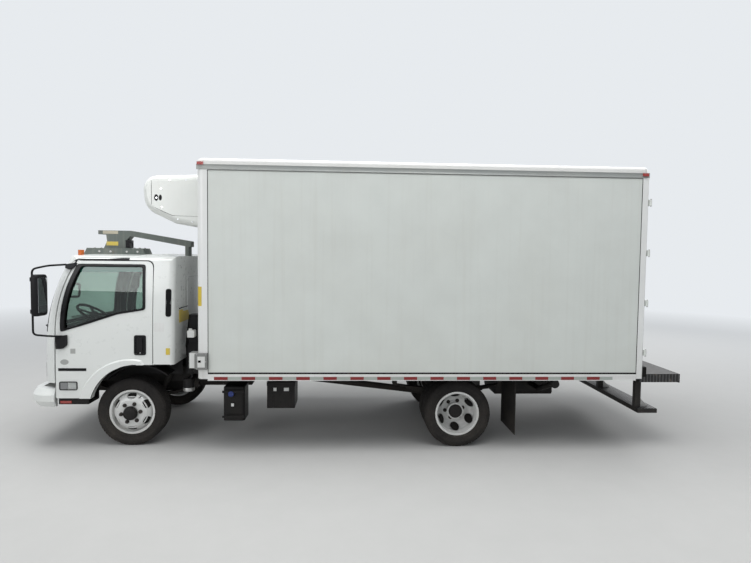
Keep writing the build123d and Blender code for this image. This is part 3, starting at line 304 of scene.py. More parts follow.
def build_tread_plate():
    """Raised crossed bars of steel tread plate, as a height."""
    tree, given, result, place = shader_group("tread_plate", (("Pitch", FLOAT, 32.0),), (("Height", FLOAT),))
    parts = add_node(tree, "ShaderNodeSeparateXYZ", {0: place}).outputs
    diagonals = [times(tree, maths(tree, operation, parts[0], parts[1]), given["Pitch"])
                 for operation in ("ADD", "SUBTRACT")]
    bars = []
    for along, across in (diagonals, diagonals[::-1]):
        sides = []
        for cell, reach in ((along, 0.10), (across, 0.30)):
            off_middle = maths(tree, "ABSOLUTE", maths(tree, "SUBTRACT", maths(tree, "FRACT", cell), 0.5))
            sides.append(ramp(tree, off_middle, reach, reach + 0.06, 1.0, 0.0))
        bars.append(times(tree, *sides))
    fill(tree, result, {"Height": maths(tree, "MAXIMUM", *bars)})
    return tree


EFFECTS = {
    "film": build_road_film(),
    "rain": build_rain_marks(),
    "grain": build_moulded_grain(),
    "chips": build_chips(),
    "weave": build_weave(),
    "tread": build_tread_plate(),
}


def effect(tree, name, inputs):
    return add_node(tree, "ShaderNodeGroup", inputs, node_tree=EFFECTS[name]).outputs


def new_material(name, slot):
    material = bpy.data.materials.new(name)
    material.use_nodes = True
    tree = material.node_tree
    shader = tree.nodes["Principled BSDF"]
    return material, tree, shader


def paint(name, slot, colour, roughness, metallic=0.0, coat=0.0, film=None, rain=0.0, chips=None, grain=None,
          vary=0.06, gloss=0.5):
    """A finish from its base colour, with the wear it shows.

    film is (amount, height in metres), chips is (amount, colour underneath), grain is (scale, strength).
    """
    material, tree, shader = new_material(name, slot)
    place = object_place(tree)
    darker = tuple(value * (1 - vary) for value in colour) + (1,)
    lighter = tuple(min(1, value * (1 + vary)) for value in colour) + (1,)
    now = mix_colour(tree, ramp(tree, cloud(tree, place, 3.1, 6.0), 0.3, 0.7), darker, lighter)
    rough = ramp(tree, cloud(tree, place, 17.0, 5.0), 0.25, 0.75, roughness * 0.95, min(1, roughness * 1.06))
    if rain:
        now = effect(tree, "rain", {"Colour": now, "Amount": rain})["Colour"]
    if chips:
        worn = effect(tree, "chips", {"Colour": now, "Under": (*chips[1], 1), "Amount": chips[0]})
        now = worn["Colour"]
        rough = plus(tree, rough, times(tree, worn["Mask"], 0.3), clamp=True)
    if film:
        dusted = effect(tree, "film", {"Colour": now, "Roughness": rough, "Amount": film[0], "Height": film[1]})
        now, rough = dusted["Colour"], dusted["Roughness"]
    if grain:
        fill(tree, shader, {"Normal": effect(tree, "grain",
                                             {"Scale": float(grain[0]), "Strength": grain[1]})["Normal"]})
    fill(tree, shader, {"Base Color": now, "Roughness": rough, "Metallic": metallic, "Coat Weight": coat,
                        "Coat Roughness": 0.08, "Specular IOR Level": gloss})
    return material


def window_glass(name, tint, band, low, high):
    """Tinted glass with faint smears, and a deeper band above a height along its top."""
    material, tree, shader = new_material(name, "glass")
    smears = ramp(tree, cloud(tree, stretch(tree, object_place(tree), (3, 3, 9)), 1.0, 6.0, 0.6), 0.60, 0.90)
    smeared = mix_colour(tree, times(tree, smears, 0.15), (*tint, 1), (0.5, 0.5, 0.47, 1))
    banded = mix_colour(tree, ramp(tree, place_parts(tree)[2], low, high), smeared, (*band, 1))
    fill(tree, shader, {"Base Color": banded, "Roughness": times(tree, smears, 0.06), "Transmission Weight": 1.0,
                        "IOR": 1.45})
    return material


def lens(name, slot, colour, clear=0.35):
    """A moulded lamp lens with fine flutes."""
    material, tree, shader = new_material(name, slot)
    parts = place_parts(tree)
    flutes = maths(tree, "SINE", times(tree, plus(tree, parts[0], parts[1]), 900.0))
    bump = add_node(tree, "ShaderNodeBump", {"Height": flutes, "Strength": 0.35, "Distance": 0.001})
    dusty = effect(tree, "film", {"Colour": (*colour, 1), "Roughness": 0.14, "Amount": 0.25, "Height": 1.4})
    fill(tree, shader, {"Base Color": dusty["Colour"], "Roughness": dusty["Roughness"], "Normal": bump.outputs[0],
                        "Transmission Weight": clear, "Coat Weight": 0.6})
    return material


def cloth(name, slot, colour, second, pitch=900.0):
    """Plain woven cloth in two tones, dull, with a little sheen."""
    material, tree, shader = new_material(name, slot)
    woven = effect(tree, "weave", {"Colour": (*colour, 1), "Second": (*second, 1), "Pitch": pitch})
    bump = add_node(tree, "ShaderNodeBump", {"Height": woven["Height"], "Strength": 0.4, "Distance": 0.0006})
    fill(tree, shader, {"Base Color": woven["Colour"], "Normal": bump.outputs[0], "Roughness": 0.92,
                        "Sheen Weight": 0.35})
    return material


def rubber(name, slot, colour, dust, height, roughness=0.82):
    return paint(name, slot, colour, roughness, film=(dust, height), grain=(520, 0.25), vary=0.15, gloss=0.10)


def tread_steel(name, slot, colour):
    """Painted tread plate, its raised bars rubbed bright."""
    material = paint(name, slot, colour, 0.5, metallic=0.3, chips=(0.5, (0.20, 0.16, 0.13)))
    tree = material.node_tree
    shader = tree.nodes["Principled BSDF"]
    bars = effect(tree, "tread", {"Pitch": 26.0})["Height"]
    plain = shader.inputs["Base Color"].links[0].from_socket
    bump = add_node(tree, "ShaderNodeBump", {"Height": bars, "Strength": 0.9, "Distance": 0.004})
    fill(tree, shader, {"Base Color": mix_colour(tree, times(tree, bars, 0.55), plain, (0.24, 0.24, 0.24, 1)),
                        "Normal": bump.outputs[0]})
    return material


def mirror_glass(name, slot):
    material, tree, shader = new_material(name, slot)
    dulled = ramp(tree, cloud(tree, object_place(tree), 14.0, 5.0), 0.4, 0.8, 0.02, 0.12)
    fill(tree, shader, {"Base Color": (0.86, 0.88, 0.90, 1), "Roughness": dulled, "Metallic": 1.0})
    return material


WHITE = paint("cab_white", "white_paint", (0.70, 0.72, 0.70), 0.28, coat=0.5, film=(0.14, 0.95), rain=0.03,
              vary=0.010)
SKIN = paint("box_side_white", "box_skin", (0.61, 0.64, 0.61), 0.34, coat=0.15, film=(0.30, 1.25), rain=0.20,
             vary=0.025)
# The posts, frame and rails in a lighter white than the side skin: partly their own finish, partly a painted
# highlight of the light the rounded corner posts catch.
POST_WHITE_AND_HIGHLIGHT = paint("box_post_white_and_highlight", "box_skin", (0.74, 0.75, 0.74), 0.30, coat=0.25, film=(0.35, 1.3), rain=0.22,
             vary=0.02)
ROOF = paint("roof_gelcoat", "roof_cap", (0.72, 0.72, 0.70), 0.32, coat=0.3, rain=0.18, vary=0.02)
SHELL = paint("unit_white", "unit_shell", (0.74, 0.76, 0.73), 0.30, coat=0.35, rain=0.16, vary=0.02)
CHASSIS = paint("chassis_black", "black_frame", (0.012, 0.012, 0.013), 0.52, film=(0.14, 1.3),
                chips=(0.35, (0.075, 0.045, 0.03)), vary=0.2, gloss=0.18)
PLASTIC = paint("moulded_black", "black_plastic", (0.009, 0.009, 0.010), 0.42, film=(0.07, 1.3), grain=(420, 0.22),
                vary=0.12, gloss=0.15)
TRIM = paint("gloss_black", "black_plastic", (0.005, 0.005, 0.006), 0.24, vary=0.1, gloss=0.2)
CABIN = paint("cabin_grey", "grey_plastic", (0.050, 0.051, 0.053), 0.62, grain=(380, 0.28), vary=0.06, gloss=0.3)
CABIN_DARK = paint("cabin_charcoal", "grey_plastic", (0.016, 0.016, 0.017), 0.6, grain=(380, 0.28), vary=0.08,
                   gloss=0.3)
ENAMEL = paint("wheel_silver", "wheel_paint", (0.66, 0.67, 0.66), 0.40, metallic=0.15, film=(0.30, 1.0),
               chips=(0.30, (0.20, 0.13, 0.09)))
# The rim's edge ring: a lighter, more metallic copy of the wheel paint, a painted highlight where the rim's edge
# catches the light.
RIM_EDGE_HIGHLIGHT = paint("rim_edge_painted_highlight", "wheel_paint", (0.74, 0.74, 0.72), 0.26, metallic=0.7, film=(0.12, 1.1))
TYRE = rubber("tyre_black", "tyre", (0.013, 0.013, 0.014), 0.13, 1.1)
RUBBER = rubber("seal_rubber", "rubber", (0.008, 0.008, 0.008), 0.04, 1.4, 0.7)
FLAP = rubber("flap_rubber", "rubber", (0.011, 0.011, 0.012), 0.14, 1.2, 0.62)
IRON = paint("rough_iron", "cast_iron", (0.028, 0.026, 0.025), 0.7, metallic=0.3, film=(0.16, 1.3),
             chips=(0.6, (0.10, 0.045, 0.022)), grain=(240, 0.5), vary=0.2, gloss=0.3)
STEEL = paint("zinc_steel", "steel", (0.42, 0.42, 0.41), 0.42, metallic=0.85, film=(0.2, 1.4),
              chips=(0.3, (0.2, 0.11, 0.06)))
RAIL = paint("rail_alloy", "control_grey", (0.30, 0.315, 0.305), 0.42, metallic=0.45, rain=0.35, vary=0.06)
GREY = paint("control_box_grey", "control_grey", (0.20, 0.205, 0.20), 0.5, film=(0.2, 1.4), grain=(300, 0.12))
CARRIER = paint("carrier_green_grey", "control_grey", (0.085, 0.105, 0.095), 0.55, rain=0.3,
                chips=(0.4, (0.14, 0.09, 0.06)))
TREADPLATE = tread_steel("tread_plate_black", "black_frame", (0.02, 0.02, 0.02))
SIDE_GLASS = window_glass("side_glass_green", (0.40, 0.52, 0.46), (0.03, 0.27, 0.20), 2.030, 2.045)
SCREEN_GLASS = window_glass("screen_glass_green", (0.46, 0.58, 0.52), (0.04, 0.26, 0.20), 1.97, 2.03)
CLEAR = lens("lamp_clear", "lens_clear", (0.86, 0.88, 0.88), 0.85)
SMOKED = lens("lamp_smoked", "lens_clear", (0.26, 0.27, 0.28), 0.3)
RED = lens("lamp_red", "lens_red", (0.42, 0.018, 0.012), 0.25)
AMBER = lens("lamp_amber", "lens_amber", (0.70, 0.16, 0.012), 0.3)
CHROME = paint("lamp_reflector", "lens_clear", (0.80, 0.81, 0.82), 0.12, metallic=1.0)
TEAL = paint("glass_band_teal", "glass", (0.010, 0.115, 0.085), 0.12, coat=0.6, vary=0.3)
MIRROR = mirror_glass("mirror_silver", "glass")
TAPE_RED = paint("tape_red", "lens_red", (0.20, 0.006, 0.007), 0.32, film=(0.12, 1.5), grain=(800, 0.2))
TAPE_WHITE = paint("tape_white", "box_skin", (0.36, 0.40, 0.37), 0.30, film=(0.2, 1.5), grain=(800, 0.2))
YELLOW = paint("label_yellow", "lens_amber", (0.62, 0.46, 0.03), 0.45, rain=0.5)
LABEL = paint("label_white", "white_paint", (0.70, 0.71, 0.70), 0.45, rain=0.5)
LABEL_GREY = paint("label_grey", "control_grey", (0.34, 0.35, 0.34), 0.5, rain=0.5)
BLUE = paint("cap_blue", "black_plastic", (0.012, 0.030, 0.17), 0.4, grain=(300, 0.2))
BEIGE = paint("label_beige", "control_grey", (0.44, 0.40, 0.30), 0.5, rain=0.6)
SEAT = cloth("seat_weave", "seat_cloth", (0.055, 0.058, 0.065), (0.12, 0.125, 0.135))
BELT = cloth("belt_webbing", "seat_cloth", (0.012, 0.012, 0.013), (0.03, 0.03, 0.032), 1500.0)
FLOOR_ALLOY = paint("deck_alloy", "steel", (0.48, 0.48, 0.47), 0.38, metallic=0.8, chips=(0.3, (0.3, 0.29, 0.27)))


# Building meshes, in metres in the truck's own frame
def spokes_round(axis, count):
    """Unit directions spread evenly round an axis."""
    side = axis.orthogonal().normalized()
    other = axis.cross(side)
    angles = [2 * math.pi * number / count for number in range(count)]
    return [side * math.cos(angle) + other * math.sin(angle) for angle in angles]


class Form:
    """A mesh in the making. Faces take the tone, which is the index of their material."""

    def __init__(self):
        self.bm = bmesh.new()
        self.tone = 0

    def grid(self, rows, looped=False):
        """Faces between closed rows of points. The last row joins the first if looped; else both ends are capped."""
        made = [[self.bm.verts.new(point) for point in row] for row in rows]
        count = len(made[0])
        faces = []
        for lower, upper in zip(made, made[1:] + made[:looped]):
            for i in range(count):
                j = (i + 1) % count
                faces.append(self.bm.faces.new((lower[i], lower[j], upper[j], upper[i])))
        if not looped:
            faces += [self.bm.faces.new(made[0]), self.bm.faces.new(made[-1])]
        for face in faces:
            face.material_index = self.tone

    def box(self, start, stop):
        """A box between two opposite corners."""
        low, high = ([pick(pair) for pair in zip(start, stop)] for pick in (min, max))
        self.grid([[(low[0], low[1], z), (high[0], low[1], z), (high[0], high[1], z), (low[0], high[1], z)]
                   for z in (low[2], high[2])])

    def slab(self, outline, start, stop):
        """An outline of (x, z) given thickness along Y."""
        self.grid([[(x, y, z) for x, z in outline] for y in sorted((start, stop))])

    def lathe(self, centre, axis, profile, sides=32):
        """A profile of (radius, distance along the axis) turned round the axis."""
        axis = Vector(axis).normalized()
        spokes = spokes_round(axis, sides)
        self.grid([[Vector(centre) + axis * along + out * radius for out in spokes] for radius, along in profile])

    def ring(self, centre, axis, section, sides=64):
        """A closed section of (radius, distance along the axis) turned round the axis, as for a tyre."""
        axis = Vector(axis).normalized()
        self.grid([[Vector(centre) + axis * along + out * radius for radius, along in section]
                   for out in spokes_round(axis, sides)], looped=True)

    def rod(self, start, stop, radius, stop_radius=None, sides=14):
        along = Vector(stop) - Vector(start)
        self.lathe(start, along, [(radius, 0), (radius if stop_radius is None else stop_radius, along.length)], sides)

    def tube(self, path, radius, sides=10, closed=False):
        """A round tube along a path of points."""
        points = [Vector(point) for point in path]
        count = len(points)
        rows = []
        up = None
        for number, point in enumerate(points):
            before = points[(number - 1) % count] if closed else points[max(0, number - 1)]
            after = points[(number + 1) % count] if closed else points[min(count - 1, number + 1)]
            along = (after - before).normalized()
            up = along.orthogonal().normalized() if up is None else (up - along * up.dot(along)).normalized()
            other = along.cross(up)
            angles = [2 * math.pi * side / sides for side in range(sides)]
            rows.append([point + (up * math.cos(a) + other * math.sin(a)) * radius for a in angles])
        self.grid(rows, looped=closed)

    def take(self, mesh):
        """Adds a finished mesh in the present tone."""
        before = len(self.bm.faces)
        self.bm.from_mesh(mesh)
        self.bm.faces.ensure_lookup_table()
        for face in self.bm.faces[before:]:
            face.material_index = self.tone
        bpy.data.meshes.remove(mesh)

    def mesh(self, name, materials, smooth=38):
        bmesh.ops.recalc_face_normals(self.bm, faces=self.bm.faces)
        mesh = bpy.data.meshes.new(name)
        self.bm.to_mesh(mesh)
        self.bm.free()
        for material in materials:
            mesh.materials.append(material)
        mesh.polygons.foreach_set("use_smooth", [True] * len(mesh.polygons))
        mesh.set_sharp_from_angle(angle=math.radians(smooth))
        return mesh

    def piece(self, name, materials, body, bevel=0.0, smooth=38):
        """The finished piece, riding on its body, with its edges broken by a small bevel."""
        materials = materials if isinstance(materials, (list, tuple)) else [materials]
        made = add_object(name, self.mesh(name, materials, smooth))
        if bevel:
            edges = made.modifiers.new("edges", "BEVEL")
            edges.width = bevel
            edges.segments = 2
            edges.limit_method = "ANGLE"
            edges.angle_limit = math.radians(40)
            edges.harden_normals = True
        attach(made, body)
        return made


def rounded(corners, radius, steps=5, along=1):
    """An outline of points with its corners rounded, and points along its straight edges."""
    count = len(corners)
    radii = radius if isinstance(radius, (list, tuple)) else [radius] * count
    ends = []
    for number in range(count):
        corner = Vector(corners[number])
        before = Vector(corners[number - 1])
        after = Vector(corners[(number + 1) % count])
        cut = min(radii[number], (before - corner).length * 0.45, (after - corner).length * 0.45)
        start = corner + (before - corner).normalized() * cut
        stop = corner + (after - corner).normalized() * cut
        ends.append([start.lerp(corner, t).lerp(corner.lerp(stop, t), t)
                     for t in (step / steps for step in range(steps + 1))])
    points = []
    for number in range(count):
        points += ends[number]
        start, stop = ends[number][-1], ends[(number + 1) % count][0]
        points += [start.lerp(stop, step / along) for step in range(1, along)]
    return [tuple(point) for point in points]


def box_outline(low, high, radius, steps=4):
    return rounded([(low[0], low[1]), (high[0], low[1]), (high[0], high[1]), (low[0], high[1])], radius, steps)


def curve_through(points, steps=8):
    """Points of a smooth curve through the given ones."""
    given = [Vector(point) for point in points]
    padded = [given[0] * 2 - given[1]] + given + [given[-1] * 2 - given[-2]]
    made = []
    for a, b, c, d in zip(padded, padded[1:], padded[2:], padded[3:]):
        for step in range(steps):
            t = step / steps
            made.append(0.5 * ((2 * b) + (c - a) * t + (2 * a - 5 * b + 4 * c - d) * t * t
                               + (3 * b - a - 3 * c + d) * t ** 3))
    return made + [given[-1]]


RAY_START = 5
RAY_SPREAD = 0.008
GAP_DEPTH = 0.02


def surface_finder(direction, *nodes):
    """Returns a function that finds the skin of some CAD nodes along a direction and lifts a point off it.

    Each node is (name, depth), where depth is how far it lies under the skin that is meant. Where the ray falls
    into a gap between two panels, the nearest of four rays beside it counts.
    """
    direction = Vector(direction)
    trees = []
    for name, depth in nodes:
        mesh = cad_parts[name].data
        tree = BVHTree.FromPolygons([vertex.co for vertex in mesh.vertices],
                                    [face.vertices for face in mesh.polygons])
        trees.append((tree, depth))

    def reach_of(start):
        hits = [(tree.ray_cast(start, direction)[3], depth) for tree, depth in trees]
        return min((far - depth for far, depth in hits if far is not None), default=None)

    def find(place, lift=0.0):
        start = Vector(place) - direction * RAY_START
        reach = reach_of(start)
        around = [reach_of(start + out * RAY_SPREAD) for out in spokes_round(direction, 4)]
        nearest = min((far for far in around if far is not None), default=None)
        if nearest is not None and (reach is None or reach > nearest + GAP_DEPTH):
            reach = nearest
        if reach is None:
            near = [tree.find_nearest(Vector(place)) for tree, depth in trees]
            best = min(near, key=lambda found: found[3])
            return Vector(place) + direction * ((best[0] - Vector(place)).dot(direction) - lift)
        return start + direction * (reach - lift)

    return find


def flat_finder(direction, point_of, *nodes):
    """A surface finder for places of two numbers, which point_of turns into points."""
    find = surface_finder(direction, *nodes)
    return lambda place, lift=0.0: find(point_of(*place), lift)


def side_finder(side, *nodes):
    """Finds a skin of the cab's or the unit's side from a place (x, z)."""
    return flat_finder((0, -side, 0), lambda x, z: (AX + x, side * 1.0, z), *nodes)


def front_finder(*nodes):
    """Finds the cab front's skin from a place (y, z)."""
    return flat_finder((1, 0, 0), lambda y, z: (AX - 1.0, y, z), *nodes)


def add_plate(form, find, outline, lift, sink=0.004):
    """A flat trim piece on a skin: its face stands proud and its back is let in. It follows the skin's bend."""
    middle = sum((Vector(point) for point in outline), Vector((0, 0))) / len(outline)
    rows = [[find(point, -sink) for point in outline]]
    for share in (1.0, 0.8, 0.55, 0.28):
        rows.append([find(middle.lerp(Vector(point), share), lift) for point in outline])
    form.grid(rows)


def add_band(form, find, outer, inner, lift, sink=0.004):
    """A band on a skin, between two outlines with the same number of points. It follows the skin's bend."""
    rows = [(outer, -sink)]
    for share in (0.0, 0.33, 0.67, 1.0):
        rows.append(([Vector(a).lerp(Vector(b), share) for a, b in zip(outer, inner)], lift))
    rows.append((inner, -sink))
    form.grid([[find(point, height) for point in outline] for outline, height in rows], looped=True)


def add_bead(form, find, path, radius, lift=0.0, closed=False):
    form.tube([find(point, lift) for point in path], radius, 8, closed)


# Geometry node trees for what repeats
def new_tree(name, inputs):
    tree = bpy.data.node_groups.new(name, "GeometryNodeTree")
    tree.is_modifier = True
    tree.interface.new_socket("Geometry", in_out="INPUT", socket_type="NodeSocketGeometry")
    for label, kind, value in inputs:
        tree.interface.new_socket(label, in_out="INPUT", socket_type=kind).default_value = value
    tree.interface.new_socket("Finish", in_out="INPUT", socket_type="NodeSocketMaterial")
    tree.interface.new_socket("Geometry", in_out="OUTPUT", socket_type="NodeSocketGeometry")
    return tree, tree.nodes.new("NodeGroupInput").outputs, tree.nodes.new("NodeGroupOutput").inputs


def finish_tree(tree, given, result, instances):
    real = add_node(tree, "GeometryNodeRealizeInstances", {0: instances}).outputs[0]
    made = add_node(tree, "GeometryNodeSetMaterial", {"Geometry": real, "Material": given["Finish"]}).outputs[0]
    tree.links.new(made, result["Geometry"])
    return tree


def build_fastener_tree():
    """Bolt, rivet or nut heads on points, each turned to its point's facing vector."""
    tree, given, result = new_tree(
        "fasteners", (("Radius", FLOAT, 0.01), ("Height", FLOAT, 0.006), ("Sides", "NodeSocketInt", 6),
                      ("Crown", FLOAT, 0.7), ("Collar", FLOAT, 1.3)))
    collar_radius = times(tree, given["Radius"], given["Collar"])
    collar = add_node(tree, "GeometryNodeMeshCone", {
        "Vertices": 14, "Radius Bottom": collar_radius, "Radius Top": collar_radius,
        "Depth": times(tree, given["Height"], 0.3)})
    head = add_node(tree, "GeometryNodeMeshCone", {
        "Vertices": given["Sides"], "Radius Bottom": given["Radius"],
        "Radius Top": times(tree, given["Radius"], given["Crown"]), "Depth": given["Height"]})
    both = tree.nodes.new("GeometryNodeJoinGeometry")
    tree.links.new(collar.outputs["Mesh"], both.inputs[0])
    tree.links.new(head.outputs["Mesh"], both.inputs[0])
    facing = add_node(tree, "GeometryNodeInputNamedAttribute", {"Name": "facing"},
                      data_type="FLOAT_VECTOR").outputs[0]
    turn = add_node(tree, "FunctionNodeAlignRotationToVector", {"Vector": facing}, axis="Z").outputs[0]
    placed = add_node(tree, "GeometryNodeInstanceOnPoints", {
        "Points": given["Geometry"], "Instance": both.outputs[0], "Rotation": turn})
    return finish_tree(tree, given, result, placed.outputs[0])


def build_slat_tree():
    """A straight run of like bars: slats of a grille, ribs of a floor, bars of a grating, lengths of tape."""
    tree, given, result = new_tree(
        "slats", (("Start", VECTOR, (0, 0, 0)), ("Step", VECTOR, (0, 0, 0.1)), ("Size", VECTOR, (0.1, 0.1, 0.1)),
                  ("Count", "NodeSocketInt", 4), ("Tilt", VECTOR, (0, 0, 0))))
    line = add_node(tree, "GeometryNodeMeshLine", {"Count": given["Count"], "Start Location": given["Start"],
                                                   "Offset": given["Step"]}, mode="OFFSET")
    bar = add_node(tree, "GeometryNodeMeshCube", {"Size": given["Size"]})
    turn = add_node(tree, "FunctionNodeEulerToRotation", {0: given["Tilt"]}).outputs[0]
    placed = add_node(tree, "GeometryNodeInstanceOnPoints",
                      {"Points": line.outputs[0], "Instance": bar.outputs[0], "Rotation": turn})
    return finish_tree(tree, given, result, placed.outputs[0])


def build_tread_tree():
    """A ring of tread blocks round an axle along Y."""
    tree, given, result = new_tree(
        "tread", (("Centre", VECTOR, (0, 0, 0)), ("Radius", FLOAT, 0.39), ("Count", "NodeSocketInt", 54),
                  ("Size", VECTOR, (0.03, 0.03, 0.01)), ("Skew", FLOAT, 0.3), ("Phase", FLOAT, 0.0)))
    circle = add_node(tree, "GeometryNodeMeshCircle", {"Vertices": given["Count"], "Radius": given["Radius"]})
    index = tree.nodes.new("GeometryNodeInputIndex").outputs[0]
    share = maths(tree, "DIVIDE", plus(tree, index, given["Phase"]), given["Count"])
    angle = times(tree, share, 2 * math.pi)
    x = times(tree, maths(tree, "SINE", angle), given["Radius"])
    z = times(tree, maths(tree, "COSINE", angle), given["Radius"])
    spot = add_node(tree, "ShaderNodeCombineXYZ", {0: x, 1: 0.0, 2: z}).outputs[0]
    centred = add_node(tree, "ShaderNodeVectorMath", {0: spot, 1: given["Centre"]}, operation="ADD").outputs[0]
    moved = add_node(tree, "GeometryNodeSetPosition", {"Geometry": circle.outputs[0], "Position": centred})
    block = add_node(tree, "GeometryNodeMeshCube", {"Size": given["Size"]})
    skewed = add_node(tree, "ShaderNodeCombineXYZ", {0: 0.0, 1: 0.0, 2: given["Skew"]}).outputs[0]
    first = add_node(tree, "GeometryNodeTransform", {"Geometry": block.outputs[0], "Rotation": skewed})
    turn = add_node(tree, "ShaderNodeCombineXYZ", {0: 0.0, 1: angle, 2: 0.0}).outputs[0]
    rotation = add_node(tree, "FunctionNodeEulerToRotation", {0: turn}).outputs[0]
    placed = add_node(tree, "GeometryNodeInstanceOnPoints", {
        "Points": moved.outputs[0], "Instance": first.outputs[0], "Rotation": rotation})
    return finish_tree(tree, given, result, placed.outputs[0])


TREES = {"fasteners": build_fastener_tree(), "slats": build_slat_tree(), "tread": build_tread_tree()}


def grow(name, inputs, finish, seed=None):
    """The mesh that a geometry tree makes from its named inputs."""
    tree = TREES[name]
    host = add_object(name, seed or bpy.data.meshes.new(name))
    modifier = host.modifiers.new("grow", "NODES")
    modifier.node_group = tree
    values = dict(inputs, Finish=finish)
    for item in tree.interface.items_tree:
        if item.item_type == "SOCKET" and item.in_out == "INPUT" and item.name in values:
            modifier[item.identifier] = values[item.name]
    mesh = evaluated_mesh(host)
    host.modifiers.remove(modifier)
    bpy.data.objects.remove(host)
    return mesh


def fasteners(form, points, facing, radius, height, finish, sides=6, crown=0.8, collar=1.3):
    """Heads on points, all facing one way, added to a form."""
    seed = bpy.data.meshes.new("places")
    seed.from_pydata([tuple(point) for point in points], [], [])
    for row in seed.attributes.new("facing", "FLOAT_VECTOR", "POINT").data:
        row.vector = facing
    sizes = {"Radius": radius, "Height": height, "Sides": sides, "Crown": crown, "Collar": collar}
    form.take(grow("fasteners", sizes, finish, seed))
    bpy.data.meshes.remove(seed)


def slats(form, start, step, size, count, finish, tilt=(0, 0, 0)):
    form.take(grow("slats", {"Start": start, "Step": step, "Size": size, "Count": count, "Tilt": tilt}, finish))


# Finishes of the pieces that come from the frame as they are
CARRIED = (
    (WHITE, "cab_shell door_left door_right front_bumper front_panel"),
    (SKIN, "box_wall_left box_wall_right rear_door_left rear_door_right"),
    (POST_WHITE_AND_HIGHLIGHT, "box_front_wall box_rear_frame"), (ROOF, "box_roof"), (SHELL, "evaporator refrigeration_unit"),
    (CHASSIS, "box_floor frame fuel_tank step_bumper"), (FLAP, "mud_flaps"), (STEEL, "exhaust"),
    (IRON, "engine front_axle knuckle_left knuckle_right leaf_springs rear_axle"),
    (PLASTIC, "air_canister air_intake battery_box cab_steps def_tank grille mirror_left mirror_right"),
    (CABIN_DARK, "cab_floor dashboard seat_bases steering_wheel"), (SEAT, "seats"),
    (ENAMEL, "wheel_front_left wheel_front_right wheels_rear_left wheels_rear_right"),
    (TYRE, "tyre_front_left tyre_front_right tyres_rear_left tyres_rear_right"),
    (SCREEN_GLASS, "cab_glass"), (SIDE_GLASS, "door_glass_left door_glass_right"), (CLEAR, "headlamps"),
    (RED, "box_lamps"), (AMBER, "cab_lamps"), (GREY, "control_box"), (CARRIER, "roof_carrier"),
)


def finish_carried_nodes():
    for material, names in CARRIED:
        for name in names.split():
            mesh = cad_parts[name].data
            mesh.materials.clear()
            mesh.materials.append(material)


# Tyres with their tread, and the wheels' nuts and caps
SIDEWALL = (
    # radius, distance from the tyre's middle
    (0.247, 0.066), (0.262, 0.070), (0.2635, 0.088), (0.269, 0.099), (0.281, 0.1045), (0.284, 0.107), (0.288, 0.107),
    (0.291, 0.1055), (0.309, 0.111), (0.330, 0.1125), (0.334, 0.1135), (0.338, 0.1125), (0.350, 0.1105),
    (0.353, 0.1085), (0.364, 0.106), (0.375, 0.1005), (0.3815, 0.0945), (0.3828, 0.090),
)
TREAD_ROWS = (
    # distance from the middle, block width, block length, skew in degrees, phase
    (-0.079, 0.026, 0.0375, 8, 0.0),
    (-0.0415, 0.030, 0.0385, -24, 0.3),
    (0.0, 0.034, 0.0400, 20, 0.65),
    (0.0415, 0.030, 0.0385, -24, 0.15),
    (0.079, 0.026, 0.0375, 8, 0.5),
)
TREAD_DEPTH = 0.0095
TREAD_BLOCKS = 58


def make_tyre(name, body, node, centre_x, centres):
    """A tyre, or a pair of them, with its sidewall rings and tread blocks."""
    form = Form()
    section = SIDEWALL + tuple((radius, -along) for radius, along in reversed(SIDEWALL))
    for y in centres:
        centre = Vector((centre_x, y, AXLE_Z))
        form.ring(centre, (0, 1, 0), section, 96)
        for place, width, length, skew, phase in TREAD_ROWS:
            radius = TYRE_RADIUS - 0.0006 - TREAD_DEPTH / 2
            form.take(grow("tread", {
                "Centre": centre + Vector((0, place, 0)), "Radius": radius, "Count": TREAD_BLOCKS,
                "Size": (length, width, TREAD_DEPTH), "Skew": math.radians(skew), "Phase": phase}, TYRE))
        for hand in (-1, 1):
            form.take(grow("tread", {
                "Centre": centre + Vector((0, hand * 0.0985, 0)), "Radius": 0.371, "Count": TREAD_BLOCKS * 2,
                "Size": (0.009, 0.010, 0.016), "Skew": 0.0, "Phase": 0.25}, TYRE))
    tyre = form.piece(name, TYRE, body, smooth=30)
    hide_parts(node)


NUT_CIRCLE = 0.111
NUTS = 6
# Circle, half width and half height of the black ovals laid over the wheels' hand holes: painted shade for the shadow
# inside them.
HOLE_SHADE_CIRCLE, HOLE_SHADE_REACH, HOLE_SHADE_HEIGHT = 0.188, 0.050, 0.031


